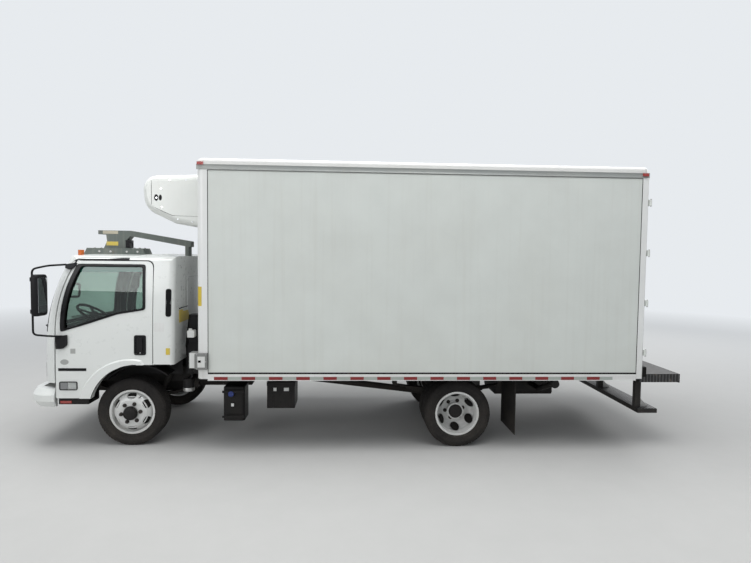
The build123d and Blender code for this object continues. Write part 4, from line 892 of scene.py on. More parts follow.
def make_wheel_trim(body, centre_x, face_y, rim_y, side, cap):
    """Nuts on their studs, the hub cap, the rim edge ring in a lighter paint as a painted highlight, the valve, the
    drum, and black ovals over the hand holes as painted shade.
    """
    out = Vector((0, side, 0))
    middle = Vector((centre_x, 0, AXLE_Z))
    form = Form()
    spots = []
    for number in range(NUTS):
        angle = 2 * math.pi * number / NUTS + math.radians(8)
        spots.append(middle + Vector((math.cos(angle) * NUT_CIRCLE, face_y, math.sin(angle) * NUT_CIRCLE)))
    for spot in spots:
        form.lathe(spot, out, [(0.023, -0.002), (0.023, 0.004), (0.0205, 0.0055)], 20)
        form.lathe(spot, out, [(0.0205, 0.003), (0.0205, 0.021), (0.0180, 0.0245)], 6)
        form.rod(spot, spot + out * 0.038, 0.0110, 0.0095)
    form.tone = 1
    reach, base = cap
    dome = [(0.081, 0.0), (0.081, 0.012), (0.077, 0.016), (0.076, reach * 0.55), (0.070, reach * 0.82),
            (0.050, reach * 0.95), (0.018, reach), (0.002, reach)]
    form.lathe(middle + out * abs(base), out, dome, 40)
    # The rim's edge ring in the lighter paint: a painted highlight.
    form.tone = 2
    form.ring(middle + out * abs(rim_y), out,
              [(0.2545, -0.004), (0.2605, -0.004), (0.2622, 0.0005), (0.2605, 0.003), (0.2555, 0.003)], 96)
    form.tone = 0
    valve = middle + Vector((math.sin(0.5) * 0.205, face_y - side * 0.03, math.cos(0.5) * 0.205))
    form.rod(valve - out * 0.02, valve + out * 0.05, 0.0055, 0.0042)
    form.tone = 3
    inner = abs(face_y) - 0.075
    form.lathe(middle + out * inner, out, [(0.216, -0.050), (0.216, -0.004), (0.205, 0.0), (0.125, 0.0)], 48)
    # Black ovals a little proud of the disc over each hand hole: painted shade, standing in for the shadow inside the
    # holes.
    find = surface_finder(-out, (body, 0))
    for number in range(6):
        angle = math.radians(30 + 60 * number)
        radial = Vector((math.cos(angle), 0, math.sin(angle)))
        tangent = Vector((-math.sin(angle), 0, math.cos(angle)))
        ends = [find(middle + radial * radius, 0.0012)
                for radius in (HOLE_SHADE_CIRCLE - HOLE_SHADE_HEIGHT, HOLE_SHADE_CIRCLE + HOLE_SHADE_HEIGHT)]
        rows = []
        for depth, share in ((-0.004, 1.0), (0.0, 1.0), (0.0, 0.5)):
            row = []
            for step in range(24):
                turn = 2 * math.pi * step / 24
                along = 0.5 + 0.5 * math.cos(turn) * share
                row.append(ends[0].lerp(ends[1], along) + tangent * (math.sin(turn) * HOLE_SHADE_REACH * share)
                           + out * depth)
            rows.append(row)
        form.grid(rows)
    form.piece(f"{body}_trim", [IRON, PLASTIC, RIM_EDGE_HIGHLIGHT, RUBBER], body, smooth=32)


def make_running_gear():
    front_y = (FRONT_TYRE[0].y + FRONT_TYRE[1].y) / 2
    rear_middle = (REAR_TYRES[0].y + REAR_TYRES[1].y) / 2
    spacing = (REAR_TYRES[1].y - REAR_TYRES[0].y) - (FRONT_TYRE[1].y - FRONT_TYRE[0].y)
    for side, hand in SIDES:
        middle = -side * front_y
        make_tyre(f"tread_front_{hand}", f"wheel_front_{hand}", f"tyre_front_{hand}", AX, [middle])
        make_wheel_trim(f"wheel_front_{hand}", AX, middle + side * 0.127, middle + side * 0.086, side,
                        (0.050, middle + side * 0.137))
        middle = -side * rear_middle
        centres = [middle - spacing / 2, middle + spacing / 2]
        make_tyre(f"treads_rear_{hand}", f"wheels_rear_{hand}", f"tyres_rear_{hand}", REAR_X, centres)
        rim_y = middle + side * (spacing / 2 + 0.086)
        make_wheel_trim(f"wheels_rear_{hand}", REAR_X, middle + side * 0.010, rim_y, side,
                        (0.020, middle + side * 0.104))


# Cab sides. Places on them are (x from the front axle, height).
def arc_through(first, middle, last, steps=8):
    """Points of the circle through three points of a plane."""
    a, b, c = Vector(first), Vector(middle), Vector(last)
    turn = 2 * (a.x * (b.y - c.y) + b.x * (c.y - a.y) + c.x * (a.y - b.y))
    squares = [point.length_squared for point in (a, b, c)]
    centre = Vector(((squares[0] * (b.y - c.y) + squares[1] * (c.y - a.y) + squares[2] * (a.y - b.y)) / turn,
                     (squares[0] * (c.x - b.x) + squares[1] * (a.x - c.x) + squares[2] * (b.x - a.x)) / turn))
    start, stop = (math.atan2(point.y - centre.y, point.x - centre.x) for point in (a, c))
    sweep = (stop - start + math.pi) % (2 * math.pi) - math.pi
    radius = (a - centre).length
    angles = [start + sweep * step / steps for step in range(steps + 1)]
    return [(centre.x + math.cos(angle) * radius, centre.y + math.sin(angle) * radius) for angle in angles]


def bent_path(points, radius, steps=6):
    """A path with its corners rounded and its ends kept."""
    given = [Vector(point) for point in points]
    path = [given[0]]
    for before, corner, after in zip(given, given[1:], given[2:]):
        start = corner + (before - corner).normalized() * radius
        stop = corner + (after - corner).normalized() * radius
        path += [start.lerp(corner, step / steps).lerp(corner.lerp(stop, step / steps), step / steps)
                 for step in range(steps + 1)]
    return path + [given[-1]]


def oval(centre, width, height, count=28):
    angles = [2 * math.pi * number / count for number in range(count)]
    return [(centre[0] + math.cos(a) * width / 2, centre[1] + math.sin(a) * height / 2) for a in angles]


WINDOW_HOLE = arc_through((-0.703, 1.367), (-0.671, 1.700), (-0.519, 2.094)) + [
    (0.164, 2.094), (0.174, 1.614), (-0.110, 1.568), (-0.430, 1.460)]
WINDOW_FRAME = arc_through((-0.744, 1.343), (-0.718, 1.700), (-0.560, 2.120)) + [
    (0.193, 2.120), (0.199, 1.600), (-0.110, 1.549), (-0.430, 1.441)]
ARCH = [(0.100 - math.cos(math.radians(a)) * 0.530, 0.445 + math.sin(math.radians(a)) * 0.530)
        for a in range(16, 91, 5)]
LAMP_PLACES = ((-0.749, -0.667), (-0.661, -0.572))


def corner_radii(outline, radius):
    """Rounding for an outline's real corners only, none for the points of its curved front edge."""
    return [0.004 if 0 < number < 8 else radius for number in range(len(outline))]


def make_door_outside(side, hand):
    """The window's frame, seals and sun band, the handle, the side lamp and strip, the driver's blank badges."""
    find = side_finder(side, (f"door_{hand}", 0), (f"door_glass_{hand}", 0.022))
    body = f"door_{hand}"
    hole = rounded(WINDOW_HOLE, corner_radii(WINDOW_HOLE, 0.030), 4, 3)
    frame_edge = rounded(WINDOW_FRAME, corner_radii(WINDOW_FRAME, 0.034), 4, 3)
    form = Form()
    add_band(form, find, frame_edge, hole, 0.0065)
    form.tone = 1
    add_bead(form, find, hole, 0.0065, 0.002, True)
    lining = rounded([(x * 0.995 - 0.001, z + (0.003 if z < 1.7 else -0.003)) for x, z in WINDOW_HOLE],
                     corner_radii(WINDOW_HOLE, 0.030), 4, 3)
    form.grid([[find(point, depth) for point in edge] for edge, depth in
               ((hole, 0.0015), (hole, -0.058), (lining, -0.058), (lining, 0.0015))], looped=True)
    shut_line = [(0.281, 0.990), (0.281, 2.085), (0.272, 2.120), (0.252, 2.146), (0.218, 2.160), (-0.540, 2.160)]
    add_bead(form, find, shut_line, 0.0060, -0.003)
    add_bead(form, find, ARCH, 0.005, -0.004)
    form.piece(f"{body}_window_frame", [TRIM, RUBBER], body)

    pane = side_finder(side, (f"door_glass_{hand}", 0))
    form = Form()
    band = rounded([(-0.548, 2.030), (0.162, 2.030), (0.162, 2.092), (-0.522, 2.092)], 0.006, 3, 6)
    add_plate(form, pane, band, 0.0006, 0.001)
    form.piece(f"{body}_sun_band", TEAL, body)

    form = Form()
    pocket = box_outline((0.073, 1.083), (0.207, 1.312), 0.024)
    dish = box_outline((0.087, 1.099), (0.193, 1.296), 0.017)
    add_band(form, find, pocket, dish, 0.007)
    form.tone = 1
    add_plate(form, find, dish, 0.0012)
    form.tone = 0
    add_plate(form, find, box_outline((0.114, 1.122), (0.170, 1.284), 0.012), 0.015, 0.0)
    form.tone = 2
    lock = find((0.142, 1.109), 0.0)
    form.rod(lock, lock + Vector((0, side * 0.006, 0)), 0.0085, 0.0075, 18)
    form.piece(f"{body}_handle", [PLASTIC, TRIM, STEEL], body, bevel=0.0015)

    form = Form()
    add_band(form, find, box_outline((-0.761, 0.679), (-0.560, 0.779), 0.022),
             box_outline((-0.751, 0.689), (-0.570, 0.769), 0.014), 0.008)
    for form.tone, (low, high) in enumerate(LAMP_PLACES, 1):
        add_plate(form, find, box_outline((low, 0.690), (high, 0.768), 0.008), 0.006)
    form.piece(f"{body}_side_lamp", [PLASTIC, SMOKED, CLEAR], body, bevel=0.0012)

    form = Form()
    add_plate(form, find, box_outline((-0.770, 0.900), (-0.460, 0.932), 0.003), 0.0022)
    if side < 0:
        form.tone = 1
        add_plate(form, find, box_outline((-0.634, 1.099), (-0.578, 1.155), 0.003), 0.0008)
        add_plate(form, find, oval((-0.700, 1.002), 0.092, 0.062), 0.0008)
    form.piece(f"{body}_side_strip", [TRIM, LABEL_GREY] if side < 0 else TRIM, body)


TRIM_PANEL = ((-0.735, 0.640), (-0.500, 0.640), (-0.440, 0.780), (-0.330, 0.910), (-0.180, 0.995), (0.240, 1.005),
              (0.240, 1.560), (-0.105, 1.520), (-0.430, 1.415), (-0.735, 1.325))


def make_door_inside(side, hand):
    """The trim panel inside the door, with its arm rest, pull, pocket, loudspeaker and window switch."""
    body = f"door_{hand}"
    find = flat_finder((0, side, 0), lambda x, z: (AX + x, 0, z), (body, 0))
    form = Form()
    add_plate(form, find, rounded(TRIM_PANEL, 0.03, 4, 3), 0.014)
    form.tone = 1
    arm_rest = rounded([(-0.560, 1.150), (0.190, 1.235), (0.190, 1.290), (-0.560, 1.225)], 0.02)
    pocket = box_outline((-0.420, 1.020), (0.120, 1.140), 0.03)
    pull = rounded([(-0.640, 1.300), (-0.540, 1.325), (-0.540, 1.255), (-0.640, 1.240)], 0.012)
    for outline, lift in ((arm_rest, 0.058), (pocket, 0.034), (pull, 0.020)):
        add_plate(form, find, outline, lift, 0.0)
    middle = find((-0.600, 0.840), 0.012)
    inward = Vector((0, -side, 0))
    form.lathe(middle, inward,
               [(0.080, 0), (0.080, 0.006), (0.074, 0.009), (0.070, 0.004), (0.030, 0.007), (0.004, 0.009)], 32)
    form.tube([find((x, 1.262 + 0.03 * math.sin((x + 0.42) * 9)), 0.075)
               for x in (-0.42, -0.36, -0.30, -0.24, -0.18, -0.12, -0.07)], 0.011)
    form.tone = 2
    form.tube(bent_path([find((-0.600, 1.285), 0.018), find((-0.600, 1.285), 0.040), find((-0.520, 1.295), 0.044)],
                        0.012), 0.006)
    form.piece(f"{body}_inner_trim", [CABIN, CABIN_DARK, CHROME], body, bevel=0.004)


MIRROR_HEAD = ((-0.085, 0.040), (-0.088, 0.010), (-0.074, -0.024), (-0.040, -0.042), (0.0, -0.046),
               (0.040, -0.042), (0.074, -0.024), (0.088, 0.010), (0.085, 0.040), (0.078, 0.047), (-0.078, 0.047))
MIRROR_ROWS = ((0.0, 0.70), (0.006, 0.86), (0.018, 0.95), (0.040, 1.0), (0.412, 1.0), (0.434, 0.95), (0.446, 0.86),
               (0.452, 0.70))
MIRROR_TURN = math.radians(7)


def make_mirror(side, hand):
    """A housing on a bent tube stay, its glass facing back, with the door bracket and the upper mount."""
    body = f"door_{hand}"
    find = side_finder(side, (body, 0), (f"door_glass_{hand}", 0.022))
    across = Vector((side * math.sin(MIRROR_TURN), side * math.cos(MIRROR_TURN), 0))
    back = Vector((math.cos(MIRROR_TURN), -side * math.sin(MIRROR_TURN), 0))
    foot = Vector((AX - 0.866, side * 1.236, 1.551))

    def place(u, w, z):
        return foot + across * u + back * w + Vector((0, 0, z))

    form = Form()
    form.grid([[place(u * scale, w * scale, z) for u, w in MIRROR_HEAD] for z, scale in MIRROR_ROWS])
    shoulder = find((-0.705, 1.297), 0.004)
    stay_x, stay_y = AX - 0.916, side * 1.252
    route = [shoulder, (AX - 0.790, side * 1.135, 1.312), (stay_x, stay_y, 1.345), (stay_x, stay_y, 2.062),
             (AX - 0.800, side * 1.160, 2.098), find((-0.690, 2.108), 0.004)]
    form.tube(bent_path(route, 0.045), 0.011, 12)
    for height in (1.60, 1.95):
        form.box((stay_x - 0.016, stay_y - 0.018, height - 0.022), (stay_x + 0.034, stay_y + 0.018, height + 0.022))
    bracket = rounded([(-0.786, 1.302), (-0.664, 1.312), (-0.664, 1.196), (-0.702, 1.160), (-0.778, 1.152)], 0.012)
    add_plate(form, find, bracket, 0.032, 0.002)
    wedge = rounded([(-0.744, 2.110), (-0.572, 2.130), (-0.574, 2.094), (-0.640, 2.050), (-0.716, 2.068)], 0.010)
    find_roof = side_finder(side, (body, 0), ("cab_shell", 0))
    form.grid([[find_roof(point, height) for point in wedge] for height in (-0.002, 0.030)])
    form.tone = 1
    form.grid([[place(u, w, z) for u, w in ((-0.070, 0.0462), (0.070, 0.0462), (0.070, 0.0485), (-0.070, 0.0485))]
               for z in (0.038, 0.414)])
    form.tone = 0
    screws = [find(spot, 0.032) for spot in ((-0.758, 1.270), (-0.690, 1.275), (-0.742, 1.185))]
    fasteners(form, screws, (0, side, 0), 0.007, 0.006, PLASTIC)
    mirror = form.piece(f"{body}_mirror", [PLASTIC, MIRROR], body, bevel=0.002)
    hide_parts(f"mirror_{hand}")


def make_cab_side(side, hand):
    """The cab side's trim strip, vent, drip rail and blank labels, the step's grip and reflector, the handle."""
    find = side_finder(side, ("cab_shell", 0))
    form = Form()
    strip = [(-0.600, 2.150), (-0.560, 2.161), (0.004, 2.163), (0.006, 2.190), (-0.087, 2.190), (-0.104, 2.179),
             (-0.540, 2.174), (-0.602, 2.162)]
    add_plate(form, find, rounded(strip, 0.003, 2, 6), 0.008)
    add_band(form, find, box_outline((0.424, 1.523), (0.486, 1.843), 0.028),
             box_outline((0.431, 1.530), (0.479, 1.836), 0.022), 0.004)
    form.tone = 1
    add_plate(form, find, box_outline((0.431, 1.530), (0.479, 1.836), 0.022), 0.0008)
    for number in range(13):
        z = 1.556 + number * 0.021
        form.grid([[find((x, z), 0.0008), find((x, z + 0.004), 0.0048), find((x, z + 0.010), 0.0008)]
                   for x in (0.433, 0.477)])
    add_bead(form, find, [(x, 0.970) for x in (0.292, 0.36, 0.43, 0.47)], 0.005)
    form.piece(f"cab_vent_{hand}", [PLASTIC, RUBBER], "cab")

    form = Form()
    rail = curve_through([(-0.640, 2.132), (-0.560, 2.180), (-0.420, 2.190), (0.0, 2.196), (0.300, 2.196),
                          (0.440, 2.190)], 6)
    add_bead(form, find, rail, 0.0065, 0.0)
    form.piece(f"cab_drip_rail_{hand}", WHITE, "cab")

    if side < 0:
        form = Form()
        add_plate(form, find, box_outline((0.288, 1.352), (0.406, 1.452), 0.004), 0.0007)
        form.tone = 1
        add_plate(form, find, box_outline((0.428, 1.086), (0.474, 1.164), 0.004), 0.0009)
        form.piece(f"cab_blank_labels_{hand}", [LABEL, YELLOW], "cab")

    low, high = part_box("cab_steps")
    form = Form()
    edge = side * high.y
    slats(form, (low.x + 0.030, side * (high.y - 0.126), low.z + 0.035), (0.034, 0, 0), (0.009, 0.190, 0.006), 9,
          PLASTIC)
    form.box((low.x, edge - side * 0.004, low.z + 0.066), (low.x + 0.330, edge + side * 0.003, low.z + 0.071))
    form.tone = 1
    form.box((AX - 0.765, edge - side * 0.002, low.z + 0.012), (AX - 0.640, edge + side * 0.009, low.z + 0.042))
    form.piece(f"cab_step_grip_{hand}", [PLASTIC, RED], "cab", bevel=0.0012)

    form = Form()
    grip = [(AX - 0.735, side * 0.925, 1.745), (AX - 0.680, side * 0.905, 1.735), (AX - 0.600, side * 0.880, 1.735),
            (AX - 0.592, side * 0.880, 1.885), (AX - 0.670, side * 0.900, 1.885), (AX - 0.705, side * 0.915, 1.880)]
    form.tube(bent_path(grip, 0.026), 0.013, 12)
    form.piece(f"cab_grab_handle_{hand}", CABIN_DARK, "cab")


# Cargo box
RIB_SEED = 11.7
TAPE_PITCH = 0.305
TAPE_Z = (BOX_BOTTOM + 0.008, BOX_BOTTOM + 0.044)
SKIN_BOTTOM = BOX_BOTTOM + 0.074


def add_sheet(form, rows, sink):
    """A sheet through rows of points, given a back that is its border carried in by the sink vector."""
    made = [[form.bm.verts.new(point) for point in row] for row in rows]
    border = made[0] + [row[-1] for row in made[1:-1]] + made[-1][::-1] + [row[0] for row in made[-2:0:-1]]
    back = [form.bm.verts.new(vertex.co + Vector(sink)) for vertex in border]
    faces = [form.bm.faces.new(back)]
    for lower, upper in zip(made, made[1:]):
        for i in range(len(lower) - 1):
            faces.append(form.bm.faces.new((lower[i], lower[i + 1], upper[i + 1], upper[i])))
    for i in range(len(border)):
        j = (i + 1) % len(border)
        faces.append(form.bm.faces.new((border[i], border[j], back[j], back[i])))
    for face in faces:
        face.material_index = form.tone


def ripple(x, z, seed):
    """How far a thin side skin stands out at a place: broad upright waves, puckered along its top edge."""
    waves = noise.noise(Vector((x * 2.2, z * 0.55, seed))) + 0.5 * noise.noise(Vector((x * 4.6, z * 1.5, seed + 7)))
    pucker = noise.noise(Vector((x * 7.0, z * 1.6, seed + 20))) * math.exp(-(WALL_HIGH.z - z) / 0.22)
    return 0.0030 * waves + 0.0014 * pucker


def make_box_side(side, hand):
    """One side's rippled skin with its dark edge seams, its rails with their rivets, and the reflective tape."""
    low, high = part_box(f"box_wall_{hand}")
    wall_y = max(abs(low.y), abs(high.y))
    along = [low.x + 0.002 + (high.x - low.x - 0.004) * i / 150 for i in range(151)]
    up = [SKIN_BOTTOM + (high.z - SKIN_BOTTOM - 0.002) * j / 44 for j in range(45)]
    form = Form()
    rows = []
    for z in up:
        row = []
        for x in along:
            edge = min(x - along[0], along[-1] - x, z - up[0], up[-1] - z)
            stand = 0.0025 + ripple(x, z, RIB_SEED * side) * min(1.0, edge / 0.06)
            row.append((x, side * (wall_y + max(0.0004, min(0.0052, stand))), z))
        rows.append(row)
    add_sheet(form, rows, (0, -side * 0.004, 0))
    form.piece(f"box_skin_{hand}", SKIN, "chassis", smooth=60)

    form = Form()
    edge = side * BOX_SIDE
    for x in (along[0], along[-1]):
        form.box((x - 0.003, edge, up[0]), (x + 0.003, edge - side * 0.006, up[-1]))
    form.box((along[0], edge - 0.0015, up[-1] - 0.001), (along[-1], edge + 0.0015, up[-1] + 0.003))
    form.piece(f"box_skin_seams_{hand}", RUBBER, "chassis")

    form = Form()
    rail = [(0, RAIL_Z + 0.003), (side * 0.005, RAIL_Z + 0.004), (side * 0.0065, RAIL_Z + 0.008),
            (side * 0.004, RAIL_Z + 0.013),
            (side * 0.003, RAIL_Z + 0.050), (side * 0.0055, RAIL_Z + 0.055), (side * 0.0055, RAIL_Z + 0.060),
            (0, RAIL_Z + 0.062)]
    form.grid([[(x, edge - side * 0.002 + y, z) for y, z in rail] for x in (BOX_FRONT + 0.004, BOX_BACK - 0.001)])
    rivets = [(x, edge + side * 0.001, RAIL_Z + 0.032) for x in
              (BOX_FRONT + 0.06 + i * 0.1015 for i in range(50))]
    fasteners(form, rivets, (0, side, 0), 0.0058, 0.0036, RAIL, 10, 0.5, 1.0)
    form.piece(f"box_top_rail_{hand}", RAIL, "chassis")

    form = Form()
    for low_z, high_z, reach in ((0.001, 0.0735, 0.0015), (0.047, 0.072, 0.0045), (0.001, 0.006, 0.0045)):
        y0, y1 = sorted((edge - side * 0.003, edge + side * reach))
        form.box((BOX_FRONT + 0.120, y0, BOX_BOTTOM + low_z), (BOX_BACK - 0.078, y1, BOX_BOTTOM + high_z))
    rivets = [(x, edge + side * 0.0045, BOX_BOTTOM + 0.060)
              for x in (BOX_FRONT + 0.15 + i * 0.152 for i in range(33))]
    fasteners(form, rivets, (0, side, 0), 0.005, 0.003, POST_WHITE_AND_HIGHLIGHT, 10, 0.5, 1.0)
    form.piece(f"box_bottom_rail_{hand}", POST_WHITE_AND_HIGHLIGHT, "chassis")

    count = int((BOX_BACK - 0.08 - BOX_FRONT - 0.19) / TAPE_PITCH)
    middle_z = (TAPE_Z[0] + TAPE_Z[1]) / 2
    size = (TAPE_PITCH / 2 - 0.0006, 0.0022, TAPE_Z[1] - TAPE_Z[0])
    for shift, finish, word in ((0.0, TAPE_RED, "red"), (TAPE_PITCH / 2, TAPE_WHITE, "white")):
        form = Form()
        slats(form, (BOX_FRONT + 0.265 + shift, edge + side * 0.0018, middle_z), (TAPE_PITCH, 0, 0), size, count,
              finish)
        form.piece(f"box_tape_{word}_{hand}", finish, "chassis")


def make_box_front():
    """The blank label on the near post, the front wall's rivet lines and the cover of the control box."""
    find = surface_finder((0, 1, 0), ("box_front_wall", 0))
    form = Form()
    rows = [[find((x, 0, z), 0.0012)
             for x in (BOX_FRONT + share for share in (0.005, 0.011, 0.018, 0.027, 0.037, 0.047, 0.056))]
            for z in (1.668, 1.884)]
    add_sheet(form, rows, (0.002, 0.004, 0))
    form.piece("box_post_label", YELLOW, "chassis")

    low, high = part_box("control_box")
    face = low.y
    form = Form()
    form.box((low.x + 0.094, face - 0.003, low.z + 0.004), (high.x - 0.002, face + 0.004, high.z - 0.004))
    form.tone = 1
    form.box((low.x + 0.108, face - 0.006, low.z + 0.026), (high.x - 0.022, face + 0.002, high.z - 0.034))
    form.box((low.x - 0.002, face + 0.062, low.z + 0.010), (low.x + 0.010, face + 0.180, high.z - 0.010))
    form.box((low.x + 0.004, face + 0.0585, low.z + 0.006), (low.x + 0.086, face + 0.062, high.z - 0.006))
    form.tone = 2
    form.box((low.x + 0.114, face - 0.0072, low.z + 0.080), (low.x + 0.146, face - 0.002, low.z + 0.106))
    form.tone = 3
    corners = [(low.x + 0.100, low.z + 0.012), (high.x - 0.009, low.z + 0.012), (high.x - 0.009, high.z - 0.012),
               (low.x + 0.100, high.z - 0.012)]
    fasteners(form, [(x, face - 0.004, z) for x, z in corners], (0, -1, 0), 0.0035, 0.003, STEEL, 8, 0.6)
    form.rod((high.x - 0.013, face - 0.002, low.z + 0.09), (high.x - 0.013, face - 0.012, low.z + 0.09), 0.007)
    form.tone = 2
    lead = [(low.x + 0.02, face + 0.14, low.z), (low.x, face + 0.16, low.z - 0.10),
            (low.x - 0.06, face + 0.30, low.z - 0.16)]
    form.tube(curve_through(lead, 8), 0.011)
    form.piece("control_box_cover", [GREY, LABEL, TRIM, STEEL], "chassis", bevel=0.0012)

    form = Form()
    front = BOX_FRONT
    for y in (-0.72, -0.24, 0.24, 0.72):
        places = [(front, y, z) for z in (0.95 + i * 0.12 for i in range(13))]
        fasteners(form, places, (-1, 0, 0), 0.0055, 0.0035, POST_WHITE_AND_HIGHLIGHT, 10, 0.5, 1.0)
        form.box((front - 0.0015, y - 0.011, 0.93), (front + 0.002, y + 0.011, 2.50))
    form.piece("box_front_seams", POST_WHITE_AND_HIGHLIGHT, "chassis")


def make_unit():
    """The refrigeration unit's seams, catches and screws, its intake with fans behind, and its hoses."""
    low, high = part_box("refrigeration_unit")
    form = Form()
    for side in (-1, 1):
        find = side_finder(side, ("refrigeration_unit", 0))
        form.tone = 0
        add_bead(form, find, [(0.267, 3.070), (0.265, 2.980), (0.264, 2.880), (0.266, 2.800)], 0.0022)
        add_bead(form, find, [(0.300, 2.768), (0.400, 2.722), (0.497, 2.681), (0.600, 2.677), (0.822, 2.672)], 0.0022,
                 -0.001)
        add_bead(form, find, [(0.330, 3.110), (0.520, 3.119), (0.822, 3.121)], 0.0014)
        form.tone = 1
        add_plate(form, find, oval((0.318, 2.881), 0.046, 0.074), 0.0015)
        add_plate(form, find, oval((0.364, 2.881), 0.034, 0.066), 0.0015)
        form.tone = 2
        form.rod(find((0.322, 2.878), -0.002), find((0.322, 2.878), 0.007), 0.010)
        spots = [(0.372, 2.984), (0.381, 2.775), (0.470, 3.080), (0.650, 3.085), (0.780, 3.085), (0.560, 2.640),
                 (0.720, 2.612)]
        fasteners(form, [find(spot) for spot in spots], (0, side, 0), 0.0075, 0.0035, PLASTIC, 12, 0.8, 1.3)
    form.piece("unit_side_details", [RUBBER, PLASTIC, CHROME], "chassis")

    form = Form()
    nose = low.x
    for y in (-0.39, 0.39):
        centre = Vector((nose + 0.052, y, 2.920))
        for radius in (0.030, 0.055, 0.080, 0.105):
            form.ring(centre, (1, 0, 0), [(radius, -0.002), (radius + 0.003, 0.0), (radius, 0.002)], 40)
        for number in range(6):
            angle = math.pi * number / 3
            out = Vector((0, math.cos(angle), math.sin(angle)))
            form.rod(centre + out * 0.012, centre + out * 0.108, 0.0022, sides=8)
    form.box((nose + 0.054, -0.775, 2.802), (nose + 0.058, 0.775, 3.038))
    form.tone = 1
    for z in (2.795, 3.045):
        form.box((nose - 0.001, -0.79, z - 0.004), (nose + 0.020, 0.79, z + 0.004))
    for y in (-0.784, 0.784):
        form.box((nose - 0.001, y - 0.006, 2.795), (nose + 0.020, y + 0.006, 3.045))
    form.piece("unit_intake", [CABIN_DARK, PLASTIC], "chassis")

    form = Form()
    for y, drop in ((0.62, 0.0), (0.70, 0.02), (0.78, 0.04)):
        hose = [(high.x - 0.06, y, low.z + 0.05), (high.x - 0.045 - drop, y + 0.02, 2.40),
                (high.x - 0.035, y + 0.03, 1.90), (high.x - 0.04, y + 0.02, 1.30), (high.x - 0.09, y - 0.06, 1.02)]
        form.tube(curve_through(hose, 8), 0.013 if drop else 0.019, 12)
    form.tone = 1
    for z in (2.30, 1.90, 1.50, 1.15):
        form.box((high.x - 0.056, 0.60, z - 0.010), (high.x + 0.0005, 0.84, z + 0.010))
    form.piece("unit_hoses", [RUBBER, STEEL], "chassis", bevel=0.0015)


REAR_DOOR_LOW, REAR_DOOR_HIGH = 0.992, 3.060
HINGE_SHARES = (0.08, 0.36, 0.64, 0.92)


def make_rear_door(side, hand):
    """Gasket, lock rod guides and handle, hinge bolts, panel lines and tape of one rear door."""
    body = f"rear_door_{hand}"
    x = BOX_BACK - 0.002
    inner, outer = side * 0.004, side * 1.134
    bottom, top = 0.999, 3.053
    form = Form()
    outline = [(inner, bottom), (outer, bottom), (outer, top), (inner, top)]
    for start, stop in zip(outline, outline[1:] + outline[:1]):
        (y0, y1), (z0, z1) = (sorted(pair) for pair in zip(start, stop))
        form.box((x - 0.004, y0 - 0.005, z0 - 0.005), (x + 0.004, y1 + 0.005, z1 + 0.005))
    form.piece(f"{body}_gasket", RUBBER, body, bevel=0.0015)

    form = Form()
    rod_x = BOX_BACK + 0.016
    for y in (side * 0.319, side * 0.890):
        for z in (1.016, 3.036):
            form.box((rod_x - 0.012, y - 0.020, z - 0.028), (rod_x + 0.020, y + 0.020, z + 0.028))
            form.rod((rod_x + 0.004, y - 0.030, z), (rod_x + 0.004, y + 0.030, z), 0.010)
        for z in (1.30, 1.80, 2.40, 2.80):
            form.box((x, y - 0.024, z - 0.016), (rod_x + 0.016, y + 0.024, z + 0.016))
            screws = [(rod_x + 0.016, y + step, z) for step in (-0.017, 0.017)]
            fasteners(form, screws, (1, 0, 0), 0.0055, 0.005, STEEL)
    rod_y, catch_y = side * 0.319, side * 0.559
    handle = [(rod_x, rod_y, 1.420), (rod_x + 0.034, rod_y + side * 0.02, 1.420),
              (rod_x + 0.034, rod_y + side * 0.300, 1.400)]
    form.tube(bent_path(handle, 0.016), 0.010, 10)
    form.box((x, catch_y - 0.020, 1.368), (rod_x + 0.030, catch_y + 0.020, 1.392))
    form.box((x, catch_y - 0.034, 1.340), (x + 0.008, catch_y + 0.034, 1.440))
    for share in HINGE_SHARES:
        z = REAR_DOOR_LOW + share * (REAR_DOOR_HIGH - REAR_DOOR_LOW)
        places = [(BOX_BACK + 0.006, side * y, z + step) for y in (1.010, 1.055) for step in (-0.024, 0.024)]
        fasteners(form, places, (1, 0, 0), 0.007, 0.006, STEEL)
        pin_x, pin_y = BOX_BACK + 0.020, side * 1.228
        form.rod((pin_x, pin_y, z - 0.044), (pin_x, pin_y, z + 0.044), 0.0075, sides=12)
    form.piece(f"{body}_lock_fittings", STEEL, body, bevel=0.0015)

    form = Form()
    for z in (1.62, 2.55):
        form.box((x - 0.001, side * 0.36, z - 0.0015), (x + 0.0025, side * 0.85, z + 0.0015))
    form.piece(f"{body}_panel_lines", POST_WHITE_AND_HIGHLIGHT, body)

    for word, finish, parity in (("red", TAPE_RED, 0), ("white", TAPE_WHITE, 1)):
        form = Form()
        for number in range(6):
            if number % 2 == parity:
                y = side * (0.062 + number * 0.170)
                form.box((x, y, 1.205), (x + 0.0015, y + side * 0.168, 1.255))
        form.piece(f"{body}_tape_{word}", finish, body)


